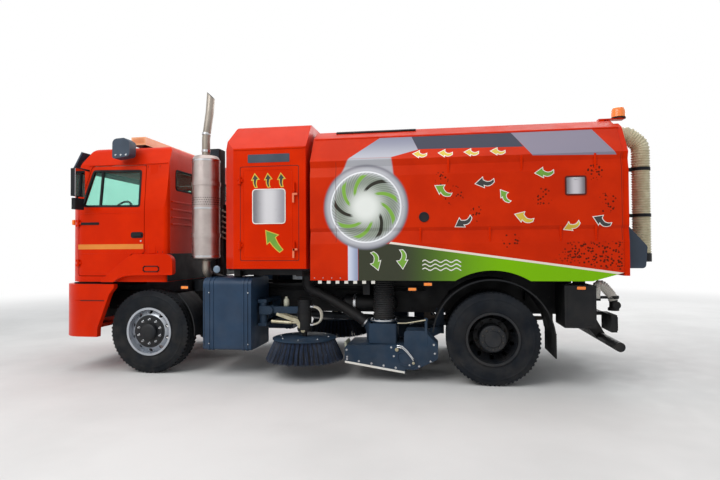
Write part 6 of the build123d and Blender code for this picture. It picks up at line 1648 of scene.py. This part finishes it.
    def intake(self) -> None:
        """The upright air intake behind the silencer, with its post, bands and slats."""
        outline = rounded(rect(*self.intake_box), 0.03)
        duct = Shape().plate(outline, 1.3, 2.885, flat_xy).box((-1.8, -1.74), (-0.6, -0.434), (0.9, 1.302))
        duct.made("intake_duct", TRIM, "chassis", 0.004)
        bands = Shape()
        for z in self.intake_rows:
            bands.frame(grown(outline, -0.002), 0.006, z, z + 0.03, flat_xy)
        bands.made("intake_bands", CHASSIS, "chassis", 0.002)
        slat = Shape().box((-0.075, 0.075), (-0.003, 0.003), (0.0, 0.006))
        x0, y0, x1, _ = self.intake_box
        spots = [Spot(((x0 + x1) / 2, y0 - 0.001, 2.68 + 0.016 * k)) for k in range(12)]
        SCATTER.spread("intake_slats", VISOR, "chassis", slat, spots)

    def markers(self) -> None:
        """Side marker lamps with their cases."""
        lamps, cases = Shape(), Shape()
        for x, y, z in self.side_lamps:
            lamps.plate(rounded(about(x, z, 0.045, 0.016), 0.008), y - 0.01, y)
            cases.plate(rounded(about(x, z, 0.052, 0.022), 0.008), y - 0.004, y + 0.012)
        lamps.twin().made("side_markers", AMBER, "chassis", 0.002)
        cases.twin().made("side_marker_cases", TRIM, "chassis", 0.001)

    def tail(self) -> None:
        """Bezels and screws of the rear lamps, and a blank plate on its board."""
        bezels = Shape()
        for y, half in self.tail_lamps:
            bezels.frame(rounded(about(y, 0.705, half, 0.07), 0.01), 0.007, 3.102, 3.11, flat_yz)
        bezels.twin().made("rear_lamp_bezels", TRIM, "chassis", 0.002)
        screws = [Spot((3.105, y, 0.622), REAR, 0.9) for y, _ in self.tail_lamps]
        SCATTER.spread("rear_lamp_screws", BRIGHT, "chassis", dome_rivet(), both_sides(screws))
        plate = Shape().plate(rounded(rect(-0.26, 0.6, 0.26, 0.712), 0.01), 3.046, 3.05, flat_yz)
        plate.made("rear_blank_plate", WHITE, "chassis", 0.001)
        board = Shape().plate(rounded(rect(-0.29, 0.575, 0.29, 0.76), 0.01), 3.026, 3.046, flat_yz)
        board.made("rear_plate_board", CHASSIS, "chassis", 0.002)


@dataclass
class Broom:
    """One side broom with its linkage, motor and hoses."""

    x: float = -0.455
    y: float = 0.98
    disc_radius: float = 0.39
    tuft_radius: float = 0.362
    bristle_radius: float = 0.485
    bottom: float = 0.203
    disc_bottom: float = 0.452

    def build(self) -> None:
        """Makes and dresses both brooms."""
        for side in both("broom_arm"):
            clothe(f"broom_bracket_{side.name}", TOOL_BLUE)
            clothe(f"broom_arm_{side.name}", TOOL_BLUE, (CHASSIS, lambda c: c.x > -0.545))
            self.brush(side.name, side.sign)
            self.linkage(side)
        clothe("tool_mounts", TOOL_BLUE)

    def brush(self, side: str, sign: int) -> None:
        """Bristles, bowl, core and bolts of one brush."""
        body = f"{side}_broom"
        centre = (self.x, sign * self.y, 0)
        reach, drop = self.bristle_radius - self.tuft_radius, self.disc_bottom - self.bottom
        carrier = bpy.data.objects.new("bristle_carrier", bpy.data.meshes.new("bristle_carrier"))
        tufts = BRISTLES.grow(carrier, f"bristles_{side}", BRISTLE, None, Count=2200, Rings=4,
            Radius=self.tuft_radius, Ring_Step=0.026, Length=math.hypot(drop, reach) * 0.985,
            Splay=math.atan2(reach, drop) - 0.06, Thickness=0.0042, Seed=11)
        tufts.data.transform(Matrix.Translation((self.x, sign * self.y, self.disc_bottom)))
        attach(tufts, body)
        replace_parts(tufts, f"broom_brush_{side}")
        r = self.disc_radius
        bowl = [(0, 0.44), (0.26, 0.44), (0.34, 0.446), (r - 0.012, 0.45), (r, 0.455), (r, 0.466), (r - 0.03, 0.4735),
            (0.2, 0.4735), (0.19, 0.478), (0, 0.478)]
        Shape().turned(bowl, centre, steps=72).made(f"broom_bowl_{side}", TOOL_BLUE, body)
        core = [(0.262, 0.3), (0.275, 0.3), (0.3, 0.36), (0.33, 0.43), (0.33, 0.445), (0.318, 0.445), (0.285, 0.365)]
        Shape().turned(core, centre, steps=64).made(f"broom_core_{side}", BRISTLE, body)
        bolts = [Spot((self.x + a, sign * self.y + b, 0.4735), UP, 1.6) for a, b in around(8, 0.3)]
        SCATTER.spread(f"broom_bowl_bolts_{side}", BRIGHT, body, hex_bolt(), bolts)

    def linkage(self, side: Side) -> None:
        """Zinc links, motor cap, hose loops with their fittings and an oil bottle on one arm."""
        y = -self.y
        bar = rounded([(-0.8, 0.735), (-0.55, 0.65), (-0.5, 0.56), (-0.46, 0.545), (-0.45, 0.58), (-0.52, 0.69),
            (-0.79, 0.768)], 0.01)
        links = Shape().plate(bar, y - 0.075, y - 0.062).plate(bar, y + 0.062, y + 0.075)
        links.pipe([(-0.86, y - 0.06, 0.66), (-0.6, y - 0.06, 0.645)], 0.022, 16)
        links.pipe([(-0.62, y - 0.06, 0.646), (-0.5, y - 0.06, 0.64)], 0.011, 12)
        links.turned(rect(0, -0.09, 0.026, 0.09), (-0.455, y, 0.555), (0, 1, 0), 20)
        side.made("broom_links", links, ZINC, 0.002)
        lid = [(0, 0), (0.088, 0), (0.088, 0.018), (0.06, 0.026), (0, 0.028)]
        cap = Shape().turned(lid, (self.x, y, 0.9), UP, 32)
        for z in (0.56, 0.76):
            cap.turned(rect(0.0852, 0, 0.093, 0.022), (self.x, y, z), UP, 32)
        side.made("broom_motor_cap", cap, CHASSIS, 0.002)
        hoses, fittings = Shape(), Shape()
        fitting = [(0, 0), (0.016, 0), (0.016, 0.03), (0.012, 0.04), (0, 0.04)]
        for at in (y - 0.03, y + 0.03):
            loop = [(-0.37 + 0.13 * math.sin(math.pi * t), at, 0.84 - 0.22 * t + 0.03 * math.sin(math.tau * t))
                for t in (j / 16 for j in range(17))]
            hoses.pipe(loop, 0.011, 10)
            for z in (0.84, 0.62):
                fittings.turned(fitting, (-0.375, at, z), REAR, 6)
        side.made("broom_hoses", hoses, PALE_HOSE)
        side.made("broom_fittings", fittings, BRIGHT, 0.001)
        bottle = [(0, 0), (0.03, 0), (0.034, 0.01), (0.034, 0.075), (0.022, 0.095), (0.016, 0.098), (0.016, 0.118),
            (0, 0.119)]
        side.made("broom_oil_bottle", Shape().turned(bottle, (-0.705, y + 0.06, 0.835), UP, 20), BOTTLE)


@dataclass
class Nozzle:
    """One suction nozzle with its hoses, bolts and rear plate."""

    hose_x: float = 0.52
    hose_y: float = 0.93
    front_y: float = 0.72
    outer_y: float = 1.18
    duct_half: float = 0.165
    skirt_z: float = 0.212
    skirt_slope: float = -0.107 / 0.71

    def build(self) -> None:
        """Makes and dresses both nozzles."""
        for side in both("nozzle"):
            clothe(f"nozzle_{side.name}", TOOL_BLUE, (HOSE, self.roller))
            self.hose(side)
            self.front_hose(side)
            self.fittings(side)

    def roller(self, c: Vector) -> bool:
        """Whether a face belongs to the roller's rubber."""
        return math.hypot(c.x - 0.92, c.z - 0.245) < 0.104 and c.x > 0.812 and -1.125 < -abs(c.y) < -0.93

    def skirt(self, x: float) -> float:
        """The height of the skirt's lower edge at X x."""
        return self.skirt_z + (x - 0.08) * self.skirt_slope

    def hose(self, side: Side) -> None:
        """The ribbed upright hose."""
        path = [(self.hose_x, side.sign * self.hose_y, z) for z in (0.7005, 0.84, 0.98, 1.12, 1.2545)]
        hose = RIBBED.lay(f"suction_hose_ribbed_{side.name}", HOSE, None, path, 0.1235, 0.0055, 0.026, 40)
        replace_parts(hose, f"suction_hose_{side.name}")
        side.body
        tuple(path[-1])
        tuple(path[0])
        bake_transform(hose)

    def front_hose(self, side: Side) -> None:
        """The thin black hose from under the module to the nozzle's front, with its clamp and stub."""
        y = side.sign * self.front_y
        path = [(-0.49, y, 1.212), (-0.49, y, 1.12), (-0.46, y, 1.03), (-0.3, y, 0.965), (-0.1, y, 0.865),
            (0.08, y, 0.755), (0.2, y, 0.675), (0.262, y, 0.632)]
        hose = RIBBED.lay(f"front_hose_{side.name}", HOSE, None, path, 0.066, 0.0018, 0.016, 20)
        side.body
        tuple(path[0])
        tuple(path[-1])
        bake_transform(hose)
        way, end = Vector((0.055, 0, -0.04)).normalized(), Vector(path[-1])
        bend = [end - way * 0.02, end + way * 0.03, (0.315, y, 0.575), (0.335, y, 0.5), (0.34, y, 0.4)]
        Shape().pipe(bend, 0.062, 24).made(f"front_hose_stub_{side.name}", TOOL_BLUE, side.body, 0.002)
        ring = [(0.0655, -0.011), (0.073, -0.009), (0.073, 0.009), (0.0655, 0.011)]
        Shape().turned(ring, end + way * 0.008, way, 36).made(f"front_hose_clamp_{side.name}", BRIGHT, side.body)

    def links(self, side: Side) -> None:
        """The upright bar behind the box, the rod to it, and the flap at the front."""
        y = -self.outer_y
        bar = Shape().box((1.018, 1.048), (y - 0.002, y + 0.03), (0.42, 0.735))
        bar.turned(rect(0, 0, 0.022, 0.03), (1.033, y + 0.03, 0.722), LEFT, 16)
        side.made("nozzle_lift_bar", bar, TOOL_BLUE, 0.003)
        rod = [(0.7, y + 0.09, 0.668), (0.8, y + 0.05, 0.675), (0.92, y + 0.01, 0.7), (1.03, y - 0.004, 0.722)]
        side.made("nozzle_lift_rod", Shape().pipe(rod, 0.008, 10), ZINC)
        flap = rounded([(0.048, 0.428), (0.06, 0.43), (0.077, 0.4), (0.077, 0.345), (0.052, 0.352)], 0.006)
        side.made("nozzle_front_flap", Shape().plate(flap, -1.03, -0.76), BOTTLE, 0.002)

    def fittings(self, side: Side) -> None:
        """Bolts, skirt strip, square duct, clamp, rear plate, links, pipes and knobs of one nozzle."""
        x, y = self.hose_x, -self.outer_y
        bolts = [Spot((a, y - 0.0005, self.skirt(a) + 0.045), size=1.9) for a in (0.11, 0.25, 0.4, 0.54, 0.68)]
        places = ((0.105, 0.36), (0.11, 0.28), (0.63, 0.4), (0.74, 0.4), (0.84, 0.2), (0.95, 0.19), (1.08, 0.25),
            (1.13, 0.34), (1.12, 0.44), (0.66, 0.3))
        bolts += [Spot((a, y - 0.0005, b), size=1.7) for a, b in places]
        side.spread("nozzle_bolts", BRIGHT, hex_bolt(), bolts)
        ends = (0.085, 0.785)
        strip = [(a, self.skirt(a) - 0.002) for a in ends] + [(a, self.skirt(a) + 0.022) for a in reversed(ends)]
        side.made("nozzle_skirt_strip", Shape().plate(strip, y - 0.006, y), WHITE, 0.001)
        duct = grown(rounded(about(x, -self.hose_y, self.duct_half, self.duct_half), 0.02), -0.012)
        side.made("nozzle_square_duct", Shape().frame(duct, 0.012, 0.425, 0.66, flat_xy), TOOL_BLUE, 0.002)
        clamp = Shape().turned(rect(0.1585, 0, 0.166, 0.014), (x, -self.hose_y, 0.683), UP, 48)
        side.made("nozzle_hose_clamp", clamp, BRIGHT, 0.001)
        flange = [Spot((x + a, b - self.hose_y, 0.7), UP, 1.2) for a, b in around(12, 0.147, 0.5)]
        side.spread("nozzle_flange_bolts", BRIGHT, hex_bolt(), flange)
        guard = rounded([(0.73, 0.21), (0.89, 0.18), (0.93, 0.24), (0.8, 0.35), (0.7, 0.33)], 0.04)
        side.made("nozzle_rear_plate", Shape().frame(guard, 0.012, y - 0.01, y), TOOL_BLUE, 0.002)
        self.links(side)
        pipes = Shape()
        bend = ((0.7, 0.012, 0.405), (0.76, 0.022, 0.4), (0.81, 0.022, 0.355), (0.86, 0.022, 0.295),
            (0.885, 0.012, 0.255))
        for lift in (0.0, 0.02):
            pipes.pipe([(a, y - out, b + lift) for a, out, b in bend], 0.0065, 8)
        side.made("nozzle_pipes", pipes, BRIGHT)
        knobs = Shape()
        for wide, a, b in ((0.022, 0.695, 0.375), (0.017, 0.885, 0.225)):
            knobs.turned([(0, 0), (wide, 0), (wide - 0.002, 0.014), (0, 0.018)], (a, y, b), LEFT, 20)
        side.made("nozzle_knobs", knobs, ZINC, 0.001)


@dataclass
class Rear:
    """Tailgate, stowed hose, beacons and the outlet under the gate."""

    hose_x: float = 3.57
    hose_y: float = -0.55
    hose_foot: float = 1.371
    gate_x: float = 3.208
    beacon_x: float = 3.258
    outlet_y: float = -0.86

    def build(self) -> None:
        """Makes and dresses the rear."""
        clothe("tailgate", ENAMEL, (VISOR, lambda c: c.x > 3.215 and c.z < 1.9))
        clothe("rear_beacons", ENAMEL, (AMBER, lambda c: c.z > 3.036))
        self.stowed_hose()
        self.gate()
        self.beacons()
        self.outlet()

    def stowed_hose(self) -> None:
        """The ribbed hose on the gate with its straps and cuff, and a rod beside it."""
        x, y, foot = self.hose_x, self.hose_y, self.hose_foot
        path = [(3.212, y, 2.8), (3.28, y, 2.84), (3.398, y, 2.9), (3.48, y, 2.842)]
        path += [(x, y, z) for z in (2.76, 2.62, 2.3, 1.9, 1.6, foot)]
        hose = RIBBED.lay("wander_hose_ribbed", CREAM, "rear_gate", path, 0.0985, 0.0055, 0.03, 36)
        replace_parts(hose, "wander_hose")
        straps = Shape()
        for z in (1.9, 2.45):
            straps.turned(rect(0.1045, 0, 0.1049, 0.04), (x, y, z), UP, 40)
            straps.box((3.209, x - 0.09), (y - 0.03, y + 0.03), (z, z + 0.04))
        straps.made("wander_hose_straps", TRIM, "rear_gate", 0.003)
        cuff = Shape().turned(rect(0.08, 0, 0.1045, 0.1), (x, y, foot), UP, 40)
        cuff.made("wander_hose_cuff", TRIM, "rear_gate", 0.003)
        rod = [(3.235, -0.7, 2.86), (3.24, -0.72, 2.6), (3.24, -0.72, 2.2), (3.238, -0.71, 1.9)]
        Shape().pipe(rod, 0.007, 8).made("gate_release_rod", TRIM, "rear_gate")

    def gate(self) -> None:
        """Stiffeners and latches of the tailgate."""
        x = self.gate_x
        posts = [rect(y - 0.03, 1.88, y + 0.03, 2.82) for y in (-0.95, -0.25, 0.25, 0.95)]
        bars = [rect(-1.02, z - 0.03, 1.02, z + 0.03) for z in (1.92, 2.35, 2.78)]
        ribs = Shape().plates(posts, x + 0.001, x + 0.028, flat_yz).plates(bars, x + 0.001, x + 0.022, flat_yz)
        ribs.made("gate_stiffeners", ENAMEL, "rear_gate", 0.005)
        latches = [rounded(rect(y - 0.025, 1.45, y + 0.025, 1.62), 0.01) for y in (-1.13, 1.13)]
        Shape().plates(latches, x, x + 0.03, flat_yz).made("gate_latches", ZINC, "rear_gate", 0.004)

    def beacons(self) -> None:
        """Bases and domes of both beacons."""
        bases, domes = Shape(), Shape()
        dome = [(0, 3.05), (0.076, 3.05), (0.076, 3.128), (0.062, 3.158), (0.03, 3.172), (0, 3.174)]
        for y in (-0.78, 0.78):
            bases.turned(rect(0, 3.0345, 0.08, 3.05), (self.beacon_x, y, 0), UP, 32)
            domes.turned(dome, (self.beacon_x, y, 0), UP, 40)
        bases.made("beacon_bases", TRIM, "hopper", 0.002)
        domes.made("beacon_domes", AMBER, "hopper", 0.002)

    def outlet(self) -> None:
        """White ribbed elbow and drain valve behind the chassis end."""
        y = self.outlet_y
        line = [(2.955, 0.96), (2.96, 1.06), (2.99, 1.12), (3.04, 1.105), (3.085, 1.05), (3.115, 1.015), (3.14, 0.98),
            (3.15, 0.94)]
        RIBBED.lay("drain_elbow", WHITE, "chassis", [(x, y, z) for x, z in line], 0.052, 0.004, 0.02, 24)
        case = [(0, 0), (0.06, 0), (0.06, 0.03), (0.045, 0.04), (0.045, 0.13), (0.06, 0.14), (0.06, 0.17), (0, 0.17)]
        knob = [(0, 0), (0.03, 0), (0.03, 0.09), (0.045, 0.1), (0.045, 0.12), (0, 0.12)]
        valve = Shape().turned(case, (3.15, y, 0.82), UP, 24).turned(knob, (3.15, y, 0.89), LEFT, 20)
        valve.box((2.95, 3.01), (-0.88, -0.42), (0.93, 0.97)).box((2.95, 3.14), (-0.88, -0.84), (0.955, 0.985))
        valve.made("drain_valve", CHASSIS, "chassis", 0.003)


@dataclass
class Studio3D:
    """Floor, backdrop light and camera."""

    eye: Triple = (1.242, -7.181, 1.53)
    heading: float = 9.18
    pitch: float = 1.1
    roll: float = -0.36
    lens: float = 25.91

    def build(self) -> None:
        """Sets the stage."""
        floor = Shape().turned(rect(0, 0, 80.0, -0.1), (0, 0, -0.001), steps=96)
        piece = bpy.data.objects.new("studio_floor", floor.mesh("studio_floor"))
        add_to_scene(piece)
        piece.data.materials.append(FLOOR.material())
        self.world()
        self.lamp("key", (-4.5, -9.0, 8.5), 7.0, 620.0)
        self.lamp("sky", (0.0, 0.0, 11.0), 11.0, 460.0)
        self.lamp("back", (6.0, 9.0, 7.0), 7.0, 420.0)
        self.camera()

    def world(self) -> None:
        """Even pale light, with white behind for the camera, gloss and glass."""
        world = bpy.data.worlds.new("studio")
        bpy.context.scene.world = world
        world.use_nodes = True
        graph = Tree(world.node_tree)
        pale = world.node_tree.nodes["Background"]
        graph.fill(pale, Color=(0.9, 0.94, 1.0, 1), Strength=0.55)
        white = graph.node("ShaderNodeBackground", Color=(1, 1, 1, 1))
        blend = graph.node("ShaderNodeMixShader", None, graph.seen(), pale.outputs[0], white.outputs[0])
        graph.fill(world.node_tree.nodes["World Output"], Surface=blend.outputs[0])

    def lamp(self, name: str, at: Triple, size: float, power: float) -> None:
        """A soft square lamp turned to the truck's middle."""
        data = bpy.data.lights.new(name, "AREA")
        data.size, data.energy = size, power
        lamp = bpy.data.objects.new(name, data)
        lamp.location = at
        lamp.rotation_euler = (Vector((0, 0, 1.2)) - Vector(at)).to_track_quat("-Z", "Y").to_euler()
        add_to_scene(lamp)

    def camera(self) -> None:
        """The camera at the photograph's viewing angle."""
        data = bpy.data.cameras.new("camera")
        data.lens, data.sensor_width = self.lens, 36.0
        data.clip_end = 300.0
        camera = bpy.data.objects.new("camera", data)
        turn = Matrix.Rotation(math.radians(self.heading), 4, "Z")
        tilt = Matrix.Rotation(math.radians(90 + self.pitch), 4, "X")
        roll = Matrix.Rotation(math.radians(self.roll), 4, "Z")
        camera.matrix_world = Matrix.Translation(self.eye) @ (turn @ tilt) @ roll
        add_to_scene(camera)
        bpy.context.scene.camera = camera


def main() -> None:
    """Builds the stage and every sub-assembly."""
    logging.basicConfig(level=logging.INFO, format="%(name)s %(message)s")
    bpy.context.scene.view_settings.view_transform = "Standard"
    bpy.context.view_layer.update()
    parts = (Studio3D(), Cab(), Wheels(), Exhaust(), Tanks(), Module(), Hopper(), Broom(), Nozzle(), Rear(),
        Chassis())
    for part in parts:
        part.build()
        LOG.info("%s done", type(part).__name__)


if __name__ == "__main__":
    main()
